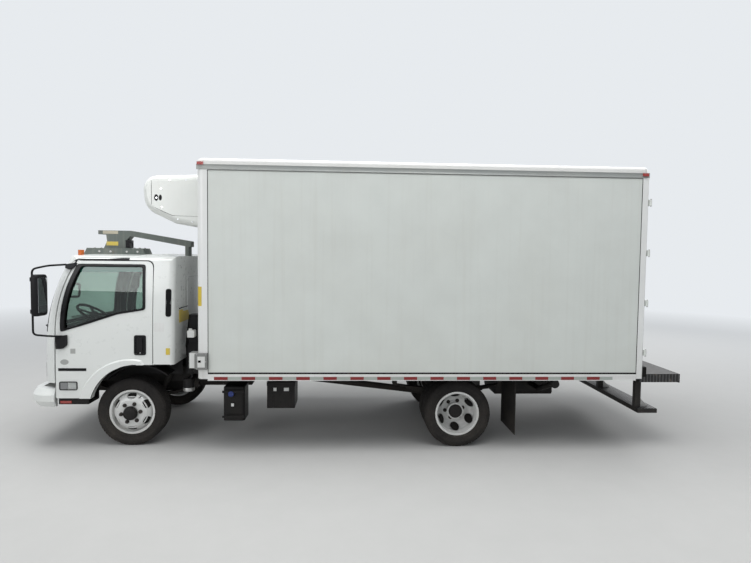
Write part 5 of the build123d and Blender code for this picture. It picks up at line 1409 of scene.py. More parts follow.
def make_rear_end():
    """The rear frame's corner tape, lamps and rubber stops, and the step's grating, tread plate and gussets."""
    x = BOX_BACK
    form = Form()
    for side in (-1, 1):
        y = side * 1.180
        form.box((x, y - 0.025, 2.70), (x + 0.0014, y + 0.025, 3.00))
        form.box((x, y + 0.025, 3.080), (x + 0.0014, y - side * 0.28, 3.105))
    form.piece("rear_corner_tape", TAPE_WHITE, "chassis")

    form = Form()
    for side in (-1, 1):
        for y in (0.815, 0.905):
            centre = Vector((x + 0.012, side * y, 0.929))
            form.tone = 0
            form.lathe(centre, (1, 0, 0), [(0.030, 0), (0.030, 0.004), (0.024, 0.008), (0.004, 0.010)], 28)
            form.tone = 2
            form.ring(centre, (1, 0, 0), [(0.031, -0.002), (0.036, -0.002), (0.036, 0.005), (0.031, 0.005)], 32)
        form.tone = 1
        form.box((x + 0.012, side * 0.70 - 0.032, 0.905), (x + 0.020, side * 0.70 + 0.032, 0.953))
    form.tone = 2
    for side in (-1, 1):
        form.box((x - 0.001, side * 0.70 - 0.040, 0.898), (x + 0.013, side * 0.70 + 0.040, 0.960))
        form.box((x, side * 1.165 - 0.040, 0.870), (x + 0.055, side * 1.165 + 0.040, 0.985))
    form.piece("rear_lamp_lenses", [RED, CLEAR, RUBBER], "chassis", bevel=0.001)

    step_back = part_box("step_bumper")[1].x
    form = Form()
    top = 0.880
    slats(form, (x + 0.055, 0, top - 0.009), (0.0305, 0, 0), (0.0042, 2.150, 0.016), 15, CHASSIS)
    slats(form, ((x + 0.024 + step_back) / 2, -1.06, top - 0.012), (0, 0.106, 0), (0.470, 0.0045, 0.010), 21, CHASSIS)
    form.piece("rear_step_grating", CHASSIS, "chassis")

    form = Form()
    for side in (-1, 1):
        y = side * 1.100
        end_plate = ((x + 0.030, 0.782), (step_back - 0.028, 0.782), (step_back - 0.002, 0.812),
                     (step_back - 0.002, 0.876), (x + 0.030, 0.876))
        form.grid([[(a, y + side * d, z) for a, z in end_plate] for d in (-0.002, 0.003)])
    form.box((step_back - 0.003, -1.096, 0.784), (step_back + 0.003, 1.096, 0.874))
    bar_low, bar_high = AX + 6.010, AX + 6.250
    form.box((bar_low + 0.004, -1.034, 0.4415), (bar_high - 0.004, 1.034, 0.446))
    form.piece("rear_step_treadplate", TREADPLATE, "chassis")

    form = Form()
    for y in (-0.95, 0.0, 0.95):
        places = [(AX + 6.075, y + step, z) for step in (-0.016, 0.016) for z in (0.80, 0.48)]
        fasteners(form, places, (1, 0, 0), 0.009, 0.008, STEEL)
        form.grid([[(a, y + d, z) for a, z in ((AX + 6.075, 0.442), (AX + 6.190, 0.442), (AX + 6.075, 0.560))]
                   for d in (-0.004, 0.004)])
    form.box((x + 0.006, -0.165, 0.905), (x + 0.009, 0.165, 0.962))
    form.tone = 1
    form.box((x + 0.009, -0.152, 0.910), (x + 0.0105, 0.152, 0.957))
    form.piece("rear_step_fittings", [STEEL, LABEL], "chassis", bevel=0.0012)


def make_load_space():
    """The ribbed alloy deck, the liner's posts and kick plates, and the evaporator's fans."""
    form = Form()
    x0, x1 = WALL_LOW.x + 0.004, WALL_HIGH.x - 0.004
    slats(form, ((x0 + x1) / 2, -1.115, DECK_Z + 0.004), (0, 0.0335, 0), (x1 - x0, 0.013, 0.012), 67, FLOOR_ALLOY)
    form.box((x0, -1.136, DECK_Z - 0.001), (x1, 1.136, DECK_Z + 0.002))
    form.piece("load_deck", FLOOR_ALLOY, "chassis")

    form = Form()
    for side in (-1, 1):
        y = side * (abs(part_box(f"box_wall_{dict(SIDES)[side]}")[0 if side > 0 else 1].y))
        form.box((x0, y, DECK_Z), (x1, y - side * 0.004, DECK_Z + 0.30))
        for number in range(8):
            x = x0 + 0.30 + number * 0.62
            form.box((x, y, DECK_Z + 0.30), (x + 0.05, y - side * 0.003, 3.13))
    form.piece("load_liner", FLOOR_ALLOY, "chassis")

    form = Form()
    for y in (-0.42, 0.0, 0.42):
        centre = Vector((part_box("evaporator")[1].x + 0.002, y, 2.975))
        for radius in (0.026, 0.045, 0.064, 0.083):
            form.ring(centre, (1, 0, 0), [(radius, -0.0015), (radius + 0.0025, 0), (radius, 0.0015)], 36)
        for number in range(4):
            angle = math.pi * number / 4
            out = Vector((0, math.cos(angle), math.sin(angle))) * 0.090
            form.rod(centre - out, centre + out, 0.0018, sides=8)
        hub = centre - Vector((0.012, 0, 0))
        form.tone = 1
        form.lathe(hub, (1, 0, 0), [(0.022, -0.006), (0.022, 0.004), (0.016, 0.007)], 20)
        for number in range(5):
            angle = 2 * math.pi * number / 5
            out = Vector((0, math.cos(angle), math.sin(angle)))
            turn = Vector((0, -math.sin(angle), math.cos(angle)))
            blade = [hub + out * reach + turn * along + Vector((twist, 0, 0)) for reach, along, twist in
                     ((0.018, -0.010, 0), (0.082, -0.022, 0), (0.082, 0.020, 0.006), (0.018, 0.010, 0.004))]
            form.grid([blade, [point + Vector((0.002, 0, 0)) for point in blade]])
        form.tone = 0
    form.piece("evaporator_fans", [STEEL, PLASTIC], "chassis")


# Cab front and roof. Places on the front are (y, height).
def screen_outline(grow_low, grow_high, low, high):
    """The windscreen's outline with its lower and upper half widths grown."""
    corners = [(-0.905 - grow_low, low), (0.905 + grow_low, low), (0.786 + grow_high, high),
               (-0.786 - grow_high, high)]
    return rounded(corners, 0.05, 5, 14)


def make_cab_front():
    """The windscreen's seal and black border, the wipers, the grille's frame and backing, lamps and bumper."""
    find = front_finder(("cab_shell", 0), ("cab_glass", 0.009), ("front_panel", 0))
    form = Form()
    add_band(form, find, screen_outline(0.014, 0.014, 1.322, 2.106), screen_outline(-0.036, -0.030, 1.384, 2.050),
             0.0025, 0.010)
    form.tone = 1
    add_bead(form, find, screen_outline(0.010, 0.010, 1.326, 2.102), 0.0075, 0.001, True)
    form.piece("cab_screen_border", [TRIM, RUBBER], "cab")

    form = Form()
    for pivot, tip in ((-0.18, -0.62), (0.64, 0.20)):
        middle = (pivot + tip) / 2
        arm = curve_through([find((pivot, 1.300), 0.016), find((middle, 1.352), 0.044), find((tip, 1.404), 0.034)], 6)
        form.tube(arm, 0.0075, 8)
        form.lathe(find((pivot, 1.300), -0.004), (-1, 0, 0), [(0.020, 0), (0.020, 0.020), (0.012, 0.030)], 16)
        for share in (-0.27, 0.0, 0.27):
            y = tip + share
            form.rod(find((y, 1.392), 0.010), find((y, 1.400), 0.026), 0.005, sides=8)
        form.tube([find((tip + share, 1.400 - 0.02 * share), 0.024) for share in (-0.28, -0.14, 0, 0.14, 0.28)],
                  0.0055, 8)
        form.tube([find((tip + share, 1.388 - 0.02 * share), 0.009) for share in (-0.30, -0.15, 0, 0.15, 0.30)],
                  0.0045, 8)
    form.piece("cab_wipers", TRIM, "cab")

    panel = front_finder(("cab_shell", 0), ("front_panel", 0))
    form = Form()
    across = [-0.50 + number * 0.05 for number in range(21)]
    rows = [[panel((y, 0.775)) + Vector((0.036, 0, z - 0.775)) for y in across] for z in (0.800, 0.90, 1.004)]
    add_sheet(form, rows, (0.004, 0, 0))
    form.tone = 1
    outer = rounded([(-0.530, 0.800), (0.530, 0.800), (0.572, 1.016), (-0.572, 1.016)], 0.022, 4, 16)
    inner = rounded([(-0.508, 0.816), (0.508, 0.816), (0.548, 1.001), (-0.548, 1.001)], 0.014, 4, 16)
    skin = front_finder(("cab_shell", 0), ("front_panel", 0), ("grille", 0))
    add_band(form, skin, outer, inner, 0.004)
    form.piece("grille_frame", [CABIN_DARK, TRIM], "cab")

    make_headlamps()
    make_bumper_trim()


def make_headlamps():
    """Each lamp's frame, its two reflectors with their bulbs, and the amber end."""
    form = Form()
    cover = front_finder(("headlamps", 0), ("front_panel", 0), ("cab_shell", 0))

    def outline(side, low, high, *bend):
        (y0, z0), (y1, z1) = low, high
        return rounded([(side * y0, z0), (side * y1, z0), (side * y1, z1), (side * y0, z1)], *bend)

    for side in (-1, 1):
        form.tone = 0
        add_band(form, cover, outline(side, (0.602, 0.797), (0.913, 0.980), 0.028, 4, 6),
                 outline(side, (0.618, 0.813), (0.897, 0.964), 0.020, 4, 6), 0.004)
        for y, radius in ((0.672, 0.050), (0.782, 0.046)):
            centre = cover((side * y, 0.888), 0.0)
            form.tone = 1
            form.ring(centre, (-1, 0, 0),
                      [(radius, -0.006), (radius + 0.004, -0.006), (radius + 0.004, 0.002), (radius, 0.002)], 40)
            bowl = [(radius - 0.001, -0.018), (radius - 0.001, -0.004), (radius * 0.5, -0.012), (0.010, -0.012)]
            form.lathe(centre, (-1, 0, 0), bowl, 32)
            form.tone = 2
            form.lathe(centre, (-1, 0, 0), [(0.011, -0.013), (0.011, 0.000), (0.006, 0.002)], 16)
        form.tone = 3
        add_plate(form, cover, outline(side, (0.845, 0.818), (0.893, 0.959), 0.01, 3, 4), 0.0022)
    form.piece("headlamp_details", [PLASTIC, CHROME, CLEAR, AMBER], "cab")


def make_bumper_trim():
    """The slot in the bumper's middle, the fog lamps and the tow covers."""
    bumper = front_finder(("front_bumper", 0))
    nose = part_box("front_bumper")[0].x
    form = Form()
    for z in (0.548, 0.584):
        form.box((nose + 0.022, -0.372, z - 0.005), (nose + 0.060, 0.372, z + 0.005))
    form.box((nose + 0.060, -0.392, 0.520), (nose + 0.066, 0.392, 0.612))
    for side in (-1, 1):
        centre = Vector((bumper((side * 0.70, 0.574)).x, side * 0.640, 0.574))
        form.ring(centre, (-1, 0, 0), [(0.040, -0.020), (0.047, -0.020), (0.050, 0.003), (0.041, 0.001)], 36)
        form.tone = 1
        form.lathe(centre, (-1, 0, 0), [(0.040, -0.030), (0.040, -0.010), (0.028, -0.005), (0.004, -0.004)], 32)
        form.tone = 0
    for y in (-0.46, 0.46):
        form.lathe(bumper((y, 0.640), -0.002), (-1, 0, 0), [(0.013, 0), (0.013, 0.003), (0.009, 0.005)], 20)
    form.piece("front_bumper_trim", [PLASTIC, SMOKED], "chassis", bevel=0.001)


def make_cab_roof():
    """Pressed ribs in the roof, and the carrier's blank labels, bolts, latch and strap."""
    top = flat_finder((0, 0, -1), lambda x, y: (AX + x, y, 2.0), ("cab_shell", 0))
    form = Form()
    for y in (-0.72, -0.56, 0.0, 0.20, 0.40, 0.60, 0.76):
        add_bead(form, top, [(0.05 + 0.04 * i, y) for i in range(10)], 0.010, -0.0055)
    form.piece("cab_roof_ribs", WHITE, "cab")

    arm_y = -0.420
    form = Form()
    form.box((AX - 0.488, arm_y - 0.0012, 2.336), (AX - 0.345, arm_y + 0.001, 2.384))
    form.tone = 1
    form.box((AX - 0.530, arm_y - 0.0012, 2.480), (AX - 0.345, arm_y + 0.001, 2.518))
    form.tone = 2
    places = [(AX + x, -0.476, 2.262) for x in (-0.549, -0.415, -0.22, -0.09)]
    fasteners(form, places, (0, -1, 0), 0.010, 0.006, STEEL)
    places = [(AX + x, y, 2.304) for x in (-0.62, -0.14, -0.08) for y in (-0.44, -0.26)]
    fasteners(form, places, (0, 0, 1), 0.011, 0.009, STEEL)
    form.tone = 3
    form.box((AX - 0.252, arm_y - 0.010, 2.312), (AX - 0.205, -0.300, 2.405))
    strap = [(AX - 0.215, arm_y + 0.01, 2.385), (AX - 0.180, arm_y, 2.370), (AX - 0.168, arm_y, 2.335),
             (AX - 0.172, arm_y, 2.306)]
    form.tube(curve_through(strap, 6), 0.007)
    form.piece("roof_carrier_details", [YELLOW, BEIGE, STEEL, PLASTIC], "cab", bevel=0.001)


def make_cab_back():
    """The back wall: a plain panel closing the window, pressed seams and a blank label."""
    find = flat_finder((-1, 0, 0), lambda y, z: (CAB_BACK, y, z), ("cab_shell", 0), ("cab_glass", 0.009))
    form = Form()
    window = rounded([(-0.492, 1.478), (0.492, 1.478), (0.492, 1.982), (-0.492, 1.982)], 0.05, 5, 8)
    add_plate(form, find, window, 0.003, 0.003)
    for z in (1.10, 2.100):
        add_bead(form, find, [(-0.90 + 0.2 * i, z) for i in range(10)], 0.0035, -0.001)
    for y in (-0.60, 0.60):
        add_bead(form, find, [(y, 1.14 + 0.12 * i) for i in range(9)], 0.0035, -0.001)
    form.tone = 1
    add_plate(form, find, box_outline((-0.830, 1.430), (-0.380, 1.580), 0.006), 0.0042, 0.002)
    form.tone = 2
    add_plate(form, find, box_outline((-0.830, 1.592), (-0.380, 1.606), 0.002), 0.0042, 0.002)
    form.piece("cab_back_panel", [WHITE, YELLOW, TRIM], "cab")


def make_arch_panels():
    """Dark panels above each front wheel and beside the engine: partly inner arch liners and engine shields, partly
    painted shade closing the view under the cab to the bright floor beyond.
    """
    form = Form()
    for side in (-1, 1):
        form.box((AX - 0.560, side * 0.655, 0.784), (AX + 0.505, side * 0.661, 0.984))
    form.piece("cab_splash_panels_and_shade", PLASTIC, "cab")

    form = Form()
    for side in (-1, 1):
        form.box((AX - 0.640, side * 0.338, 0.500), (AX + 0.560, side * 0.342, 0.660))
    form.piece("engine_side_shields_and_shade", FLAP, "chassis")


def make_frame_fittings():
    """Bolts, brackets and pipes along the frame."""
    form = Form()
    for side in (-1, 1):
        face = side * FRAME_HIGH.y
        places = [(AX + x + step, face, z) for x in (0.72, 1.40, 2.30, 3.20, 4.38, 5.30)
                  for step in (-0.045, 0.045) for z in (0.675, 0.795)]
        fasteners(form, places, (0, side, 0), 0.011, 0.009, CHASSIS)
        for x in (1.42, 2.60, 4.90):
            form.box((AX + x - 0.04, face, 0.70), (AX + x + 0.04, face + side * 0.010, 0.846))
            screws = [(AX + x + step, face + side * 0.010, 0.735) for step in (-0.02, 0.02)]
            fasteners(form, screws, (0, side, 0), 0.009, 0.008, STEEL)
        for path, radius in ((((0.70, 0.700), (1.25, 0.700), (1.34, 0.655), (4.00, 0.655)), 0.0075),
                             (((0.70, 0.722), (1.25, 0.722), (1.36, 0.672), (4.10, 0.672)), 0.005)):
            route = bent_path([(AX + x, face + side * (0.004 + radius), z) for x, z in path], 0.03)
            form.tube(route, radius, 8)
    form.piece("frame_fittings", [CHASSIS], "chassis", bevel=0.0015)


# Radius and share of the length of a shock absorber, from its lower end
SHOCK_PROFILE = ((0.026, 0.52), (0.018, 0.53), (0.018, 0.56), (0.031, 0.57), (0.031, 0.96), (0.016, 1.0))


def make_spring_fittings():
    """U-bolts and shock absorbers."""
    form = Form()
    for side in (-1, 1):
        for centre, half, foot, crown in ((AX, 0.055, 0.345, 0.505), (REAR_X, 0.085, 0.300, 0.520)):
            for x in (centre - half, centre + half):
                for y in (side * 0.352, side * 0.433):
                    form.rod((x, y, foot), (x, y, crown), 0.0075, sides=10)
                    form.lathe((x, y, foot), (0, 0, 1), [(0.013, -0.012), (0.013, 0.003)], 6)
                bow = [(x, side * 0.352, crown - 0.005), (x, side * 0.352, crown + 0.012),
                       (x, side * 0.433, crown + 0.012), (x, side * 0.433, crown - 0.005)]
                form.tube(bent_path(bow, 0.010), 0.0075, 10)
    form.tone = 1
    for side in (-1, 1):
        for lower, upper in (((AX + 0.140, side * 0.470, 0.400), (AX + 0.300, side * 0.458, 0.760)),
                             ((REAR_X - 0.150, side * 0.470, 0.420), (REAR_X - 0.360, side * 0.458, 0.780))):
            along = Vector(upper) - Vector(lower)
            form.lathe(lower, along, [(0.024, 0), (0.026, 0.010)]
                       + [(radius, along.length * share) for radius, share in SHOCK_PROFILE], 20)
            for x, y, z in (lower, upper):
                form.rod((x, y - 0.030, z), (x, y + 0.030, z), 0.022, sides=16)
    form.piece("spring_fittings", [STEEL, CHASSIS], "chassis")


def make_tank_fittings():
    """Caps, straps and blank labels of the tanks, the battery box and the air canister."""
    form = Form()
    form.lathe((AX + 1.130, -0.862, 0.590), (0, -1, 0),
               [(0.034, -0.010), (0.034, 0.018), (0.031, 0.022), (0.010, 0.023)], 24)
    form.tone = 1
    low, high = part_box("def_tank")
    form.box((AX + 1.132, low.y - 0.0012, 0.440), (AX + 1.164, low.y + 0.001, 0.476))
    low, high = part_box("battery_box")
    for x in (0.050, 0.200):
        form.box((low.x + x, low.y - 0.0012, high.z - 0.105), (low.x + x + 0.062, low.y + 0.001, high.z - 0.065))
    form.tone = 2
    form.box((low.x - 0.004, low.y - 0.004, high.z - 0.040), (high.x + 0.004, high.y, high.z + 0.003))
    for x in (0.05, 0.26):
        form.box((low.x + x, low.y - 0.0055, low.z + 0.010), (low.x + x + 0.026, low.y + 0.002, high.z - 0.030))
    low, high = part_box("def_tank")
    for z in (low.z + 0.060, high.z - 0.060):
        form.box((low.x - 0.003, low.y - 0.0035, z - 0.014), (high.x + 0.003, low.y + 0.002, z + 0.014))
    form.tone = 3
    form.lathe((AX + 0.590, -0.700, 0.586), (0, 0, 1),
               [(0.056, -0.004), (0.068, 0.004), (0.068, 0.042), (0.066, 0.046)], 28)
    for x in (1.35, 2.13):
        form.ring((AX + x, 0.590, 0.600), (1, 0, 0),
                  [(0.118, -0.012), (0.123, -0.012), (0.123, 0.012), (0.118, 0.012)], 32)
    for x in (0.90, 1.20, 2.35, 2.60):
        form.ring((AX + x, 0.590, 0.600), (1, 0, 0),
                  [(0.036, -0.010), (0.043, -0.010), (0.043, 0.010), (0.036, 0.010)], 20)
    form.tone = 2
    form.lathe((AX + 4.935, -1.160, 0.776), (0, -1, 0),
               [(0.048, -0.004), (0.048, 0.014), (0.042, 0.020), (0.012, 0.022)], 28)
    form.box((AX + 4.928, -1.188, 0.756), (AX + 4.942, -1.176, 0.796))
    form.piece("tank_fittings", [BLUE, LABEL, PLASTIC, STEEL], "chassis", bevel=0.0012)


def make_mud_flap_fittings():
    """The flaps' clamp bars and bolts."""
    low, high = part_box("mud_flaps")
    form = Form()
    for side in (-1, 1):
        y0, y1 = sorted((side * 0.565, side * 1.115))
        form.box((low.x - 0.004, y0, high.z - 0.040), (high.x + 0.004, y1, high.z - 0.012))
        places = [(high.x + 0.004, y0 + 0.05 + step * 0.15, high.z - 0.026) for step in range(4)]
        fasteners(form, places, (1, 0, 0), 0.008, 0.006, STEEL)
    form.piece("mud_flap_fittings", STEEL, "chassis")


def make_intake_hoses():
    """The air intake's bellows, the hoses behind the cab and the fluid bottle."""
    form = Form()
    x0 = AX + 0.668
    for number in range(9):
        centre = (x0 - 0.012 + number * 0.001, -0.640, 1.020 + number * 0.055)
        form.ring(centre, (0, 0, 1), [(0.050, -0.010), (0.060, 0.0), (0.050, 0.010)], 28)
    for radius, path in (
            (0.016, ((0.60, -0.56, 0.98), (0.575, -0.70, 1.10), (0.60, -0.78, 1.22), (0.66, -0.74, 1.38))),
            (0.011, ((0.64, -0.50, 0.98), (0.60, -0.58, 1.14), (0.63, -0.66, 1.32), (0.70, -0.62, 1.46))),
            (0.014, ((0.58, -0.60, 0.90), (0.62, -0.82, 0.96), (0.70, -0.84, 0.92), (0.76, -0.70, 0.86)))):
        form.tube(curve_through([(AX + x, y, z) for x, y, z in path], 8), radius)
    form.piece("intake_hoses", RUBBER, "chassis")

    form = Form()
    bottle = rounded([(AX + 0.622, 1.262), (AX + 0.706, 1.262), (AX + 0.706, 1.345), (AX + 0.622, 1.345)], 0.014, 4)
    form.slab(bottle, -0.880, -0.800)
    form.lathe((AX + 0.650, -0.840, 1.343), (0, 0, 1), [(0.020, 0), (0.020, 0.018), (0.017, 0.021)], 20)
    form.tone = 1
    form.box((AX + 0.616, -0.800, 1.200), (AX + 0.712, -0.770, 1.300))
    form.piece("fluid_bottle", [LABEL, PLASTIC], "chassis", bevel=0.003)


# Cabin
SEAT_PLACES = (
    # name, middle y, width, channels across as shares of the half width
    ("driver", -0.560, 0.460, (-0.62, 0.62)),
    ("mate", 0.590, 0.600, (-0.72, 0.0, 0.72)),
)
PAD_VOXEL = 0.010
PAD_FRAMES = 20


def puff(name, mesh, reach):
    """The mesh remeshed, filled out by a cloth simulation with air pressure, smoothed and subdivided once."""
    host = add_object(name, mesh)
    remesh = host.modifiers.new("remesh", "REMESH")
    remesh.mode = "VOXEL"
    remesh.voxel_size = PAD_VOXEL
    host.data = evaluated_mesh(host)
    host.modifiers.remove(remesh)
    cloth = host.modifiers.new("puff", "CLOTH")
    cloth.settings.quality = 5
    cloth.settings.use_pressure = True
    cloth.settings.uniform_pressure_force = 4.0
    cloth.settings.effector_weights.gravity = 0.0
    cloth.point_cache.frame_start = 1
    cloth.point_cache.frame_end = PAD_FRAMES
    for number in range(1, PAD_FRAMES + 1):
        bpy.context.scene.frame_set(number)
    filled = evaluated_mesh(host)
    for vertex, moved in zip(host.data.vertices, filled.vertices):
        step = moved.co - vertex.co
        vertex.co += step * min(1.0, reach / max(step.length, 1e-6))
    host.modifiers.remove(cloth)
    bpy.data.meshes.remove(filled)
    bpy.context.scene.frame_set(1)
    form = bmesh.new()
    form.from_mesh(host.data)
    for number in range(3):
        bmesh.ops.smooth_vert(form, verts=form.verts, factor=0.5, use_axis_x=True, use_axis_y=True, use_axis_z=True)
    form.to_mesh(host.data)
    form.free()
    finer = host.modifiers.new("finer", "SUBSURF")
    finer.levels = finer.render_levels = 1
    made = evaluated_mesh(host)
    bpy.data.objects.remove(host)
    return made


def finish_pad(name, mesh, facing, channels, limits):
    """Sinks sewn channels into a pad's face, keeps it in its space and makes it a piece of its own.

    Each channel is (function from a point to the distance from its line, depth).
    """
    mesh.update()
    normals = [vertex.normal.copy() for vertex in mesh.vertices]
    for vertex, normal in zip(mesh.vertices, normals):
        share = max(0.0, min(1.0, (normal.dot(facing) - 0.15) / 0.4))
        sink = sum(depth * math.exp(-(distance(vertex.co) / 0.009) ** 2) for distance, depth in channels)
        vertex.co -= normal * sink * share
        for axis in range(3):
            vertex.co[axis] = max(limits[0][axis], min(limits[1][axis], vertex.co[axis]))
    mesh.materials.clear()
    mesh.materials.append(SEAT)
    mesh.polygons.foreach_set("use_smooth", [True] * len(mesh.polygons))
    made = add_object(name, mesh)
    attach(made, "cab")
    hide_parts("seats")


def make_cushion(name, y, half, shares):
    """A seat's cushion, with channels along it at shares of its half width and two across it."""
    form = Form()
    rows = []
    for z, grown in ((1.202, 0.97), (1.215, 1.0), (1.262, 1.0), (1.290, 0.985), (1.306, 0.93)):
        outline = box_outline((-0.314, 0.016 - half), (0.178, half - 0.016), 0.06, 5)
        rows.append([(AX - 0.068 + (a + 0.068) * grown, y + b * grown, z) for a, b in outline])
    form.grid(rows)
    mesh = puff(f"seat_cushion_{name}", form.mesh(f"seat_cushion_{name}", []), 0.024)
    channels = [(lambda p, share=share: p.y - (y + share * half), 0.010) for share in shares]
    channels.append((lambda p: p.x - (AX - 0.245), 0.006))
    channels.append((lambda p: p.x - (AX - 0.030), 0.007))
    finish_pad(f"seat_cushion_{name}", mesh, Vector((0, 0, 1)), channels,
               ((AX - 0.330, y - half, 1.1905), (AX + 0.190, y + half, 1.331)))


def make_backrest(name, y, half, shares):
    """A seat's back, narrowing to its head, with channels up it and three across it."""
    form = Form()
    rows = []
    reach = half - 0.034
    for share, grown in ((0.10, 0.93), (0.26, 0.985), (0.55, 1.0), (0.80, 0.985), (0.90, 0.95)):
        right = [(reach, 1.352), (reach * 0.96, 1.840), (reach * 0.62, 1.985)]
        outline = rounded([(-reach, 1.352), *right, (-reach * 0.62, 1.985), (-reach * 0.96, 1.840)], 0.07, 5)
        row = []
        for b, z in outline:
            z = 1.668 + (z - 1.668) * grown
            front = 0.130 + (z - 1.334) * 0.1775
            back = 0.250 + (z - 1.334) * 0.1183
            row.append((AX + front + (back - front) * share, y + b * grown, z))
        rows.append(row)
    form.grid(rows)
    mesh = puff(f"seat_back_{name}", form.mesh(f"seat_back_{name}", []), 0.022)
    channels = [(lambda p, share=share: p.y - (y + share * reach), 0.009) for share in shares]
    channels += [(lambda p, z=z: p.z - z, 0.007) for z in (1.50, 1.66, 1.835)]
    finish_pad(f"seat_back_{name}", mesh, Vector((-1, 0, 0.1)), channels,
               ((AX + 0.130, y - half + 0.012, 1.3345), (AX + 0.332, y + half - 0.012, 2.014)))


def make_seats():
    for name, y, width, shares in SEAT_PLACES:
        make_cushion(name, y, width / 2, shares)
        make_backrest(name, y, width / 2, shares)


def make_dashboard():
    """The dashboard's hood, dials, vents, radio panel and drawer."""
    form = Form()
    hood = rounded([(AX - 0.930, 1.292), (AX - 0.900, 1.362), (AX - 0.800, 1.388), (AX - 0.716, 1.372),
                    (AX - 0.704, 1.292)], 0.02, 4)
    form.slab(hood, -0.730, -0.310)
    form.box((AX - 0.700, -0.250, 1.150), (AX - 0.694, 0.180, 1.280))
    form.box((AX - 0.700, 0.420, 1.140), (AX - 0.693, 0.860, 1.250))
    form.tone = 1
    face = AX - 0.703
    for y, radius in ((-0.610, 0.046), (-0.435, 0.046), (-0.522, 0.026)):
        rim = [(radius - 0.004, -0.002), (radius, -0.002), (radius, 0.006), (radius - 0.004, 0.006)]
        form.ring((face, y, 1.330), (1, 0, 0), rim, 36)
    for y in (-0.885, -0.150, 0.060, 0.900):
        slats(form, (AX - 0.698, y, 1.205), (0, 0, 0.012), (0.012, 0.115, 0.004), 6, TRIM)
    form.tone = 2
    for y, radius in ((-0.610, 0.042), (-0.435, 0.042)):
        form.lathe((face, y, 1.330), (1, 0, 0), [(radius, -0.001), (radius, 0.0015), (0.003, 0.002)], 32)
        form.box((face + 0.0018, y - 0.0012, 1.330), (face + 0.003, y + 0.0012, 1.330 + radius * 0.85))
    form.tone = 3
    form.box((AX - 0.695, -0.150, 1.205), (AX - 0.691, 0.080, 1.262))
    form.piece("dashboard_details", [CABIN_DARK, TRIM, LABEL_GREY, SMOKED], "cab", bevel=0.0015)


def make_controls():
    """The steering column with its stalks, the gear lever, the hand brake and the pedals."""
    form = Form()
    lean = Vector((math.sin(math.radians(32)), 0, math.cos(math.radians(32))))
    hub = Vector((AX - 0.590, -0.520, 1.490))
    form.rod(hub - lean * 0.250, hub - lean * 0.034, 0.036, 0.032, 20)
    form.tube(curve_through([hub - lean * 0.075 + Vector((0, side * 0.030, 0)) for side in (0, 1)] +
                            [hub - lean * 0.060 + Vector((0.01, 0.150, 0.0))], 6), 0.006)
    form.tube(curve_through([hub - lean * 0.075, hub - lean * 0.068 + Vector((0, -0.08, 0)), hub - lean * 0.060
                             + Vector((0.01, -0.150, 0))], 6), 0.006)
    gear = [(AX - 0.520, -0.250, 1.165), (AX - 0.505, -0.255, 1.270), (AX - 0.490, -0.262, 1.370)]
    form.tube(curve_through(gear, 6), 0.008)
    form.lathe(gear[0], (0, 0, 1), [(0.062, -0.002), (0.050, 0.030), (0.020, 0.070), (0.010, 0.085)], 24)
    form.lathe(gear[-1], (0.1, 0, 1),
               [(0.010, -0.014), (0.024, 0.002), (0.026, 0.020), (0.018, 0.038), (0.003, 0.042)], 24)
    form.box((AX - 0.380, -0.318, 1.172), (AX - 0.150, -0.272, 1.205))
    form.rod((AX - 0.180, -0.295, 1.200), (AX - 0.390, -0.295, 1.262), 0.013, 0.011)
    for y, width in ((-0.640, 0.070), (-0.520, 0.075), (-0.405, 0.052)):
        pad = Vector((AX - 0.835, y, 0.985))
        form.box((pad.x - 0.006, y - width / 2, pad.z - 0.036), (pad.x + 0.008, y + width / 2, pad.z + 0.036))
        form.tube(curve_through([pad, pad + Vector((-0.05, 0, 0.05)), pad + Vector((-0.06, 0, 0.12))], 5), 0.007)
    form.piece("cabin_controls", CABIN_DARK, "cab", bevel=0.002)


def make_visors():
    """Two sun visors and the lamps in the ceiling."""
    form = Form()
    visor = rounded([(AX - 0.600, 2.062), (AX - 0.440, 2.094), (AX - 0.438, 2.108), (AX - 0.600, 2.078)], 0.006, 3)
    for side in (-1, 1):
        form.slab(visor, side * 0.14, side * 0.70)
    for y in (-0.10, 0.10):
        form.box((AX + 0.05, y - 0.05, 2.130), (AX + 0.17, y + 0.05, 2.152))
    form.piece("cabin_visors", CABIN, "cab", bevel=0.003)


BELT_SECTION = ((-0.023, 0.0008, -0.002), (0.023, 0.0008, -0.002), (0.023, -0.0008, 0.0), (-0.023, -0.0008, 0.0))


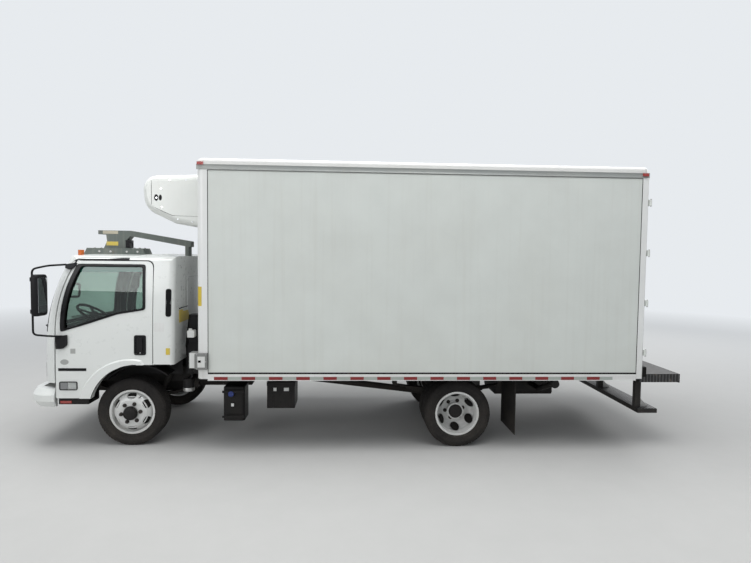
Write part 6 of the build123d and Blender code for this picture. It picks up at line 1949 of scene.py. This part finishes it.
def make_belts():
    """A seat belt on each side, hanging from its upper mount."""
    form = Form()
    for side, foot in ((-1, -0.800), (1, 0.905)):
        top = Vector((AX + 0.395, side * 0.915, 1.930))
        low = Vector((AX + 0.235, foot, 1.250))
        rows = []
        for number in range(9):
            share = number / 8
            point = top.lerp(low, share) + Vector((-0.012 * math.sin(math.pi * share), 0, 0))
            rows.append([point + Vector(corner) for corner in BELT_SECTION])
        form.grid(rows)
    form.tone = 1
    for side in (-1, 1):
        form.box((AX + 0.365, side * 0.925 - 0.010, 1.900), (AX + 0.425, side * 0.925 + 0.010, 1.955))
    form.piece("seat_belts", [BELT, CABIN_DARK], "cab")


def line_cabin():
    """Trim linings over the inner faces of the shell and of the doors, as pieces of their own."""
    heart = Vector((AX - 0.25, 0, 1.60))
    for name, body in (("cab_shell", "cab"), ("door_left", "door_left"), ("door_right", "door_right")):
        lining = bmesh.new()
        lining.from_mesh(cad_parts[name].data)
        lining.faces.ensure_lookup_table()
        spare = []
        for face in lining.faces:
            middle = face.calc_center_median()
            aim = heart - middle
            aim.y *= 1.6
            inner = face.normal.dot(aim.normalized()) > 0.35 and aim.z < 0.55
            sideways = abs(face.normal.y)
            jamb = abs(middle.y) > 0.945 and sideways < 0.6
            edge = body != "cab" and sideways < 0.7
            if jamb or edge or not inner:
                spare.append(face)
        bmesh.ops.delete(lining, geom=spare, context="FACES")
        for vertex in lining.verts:
            vertex.co += vertex.normal * 0.0012
        mesh = bpy.data.meshes.new(f"{name}_lining")
        lining.to_mesh(mesh)
        lining.free()
        mesh.materials.append(CABIN)
        made = add_object(f"{name}_lining", mesh)
        thick = made.modifiers.new("thick", "SOLIDIFY")
        thick.thickness = 0.0012
        thick.offset = 1.0
        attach(made, body)


make_camera()
make_lamps()
make_world()
make_floor()
finish_carried_nodes()
make_running_gear()
for side, hand in SIDES:
    make_door_outside(side, hand)
    make_door_inside(side, hand)
    make_mirror(side, hand)
    make_cab_side(side, hand)
    make_box_side(side, hand)
    make_rear_door(side, hand)
make_box_front()
make_unit()
make_rear_end()
make_load_space()
make_cab_front()
make_cab_roof()
make_cab_back()
make_arch_panels()
make_frame_fittings()
make_spring_fittings()
make_tank_fittings()
make_mud_flap_fittings()
make_intake_hoses()
make_seats()
make_dashboard()
make_controls()
make_visors()
make_belts()
line_cabin()

bpy.context.scene.view_settings.view_transform = "Standard"
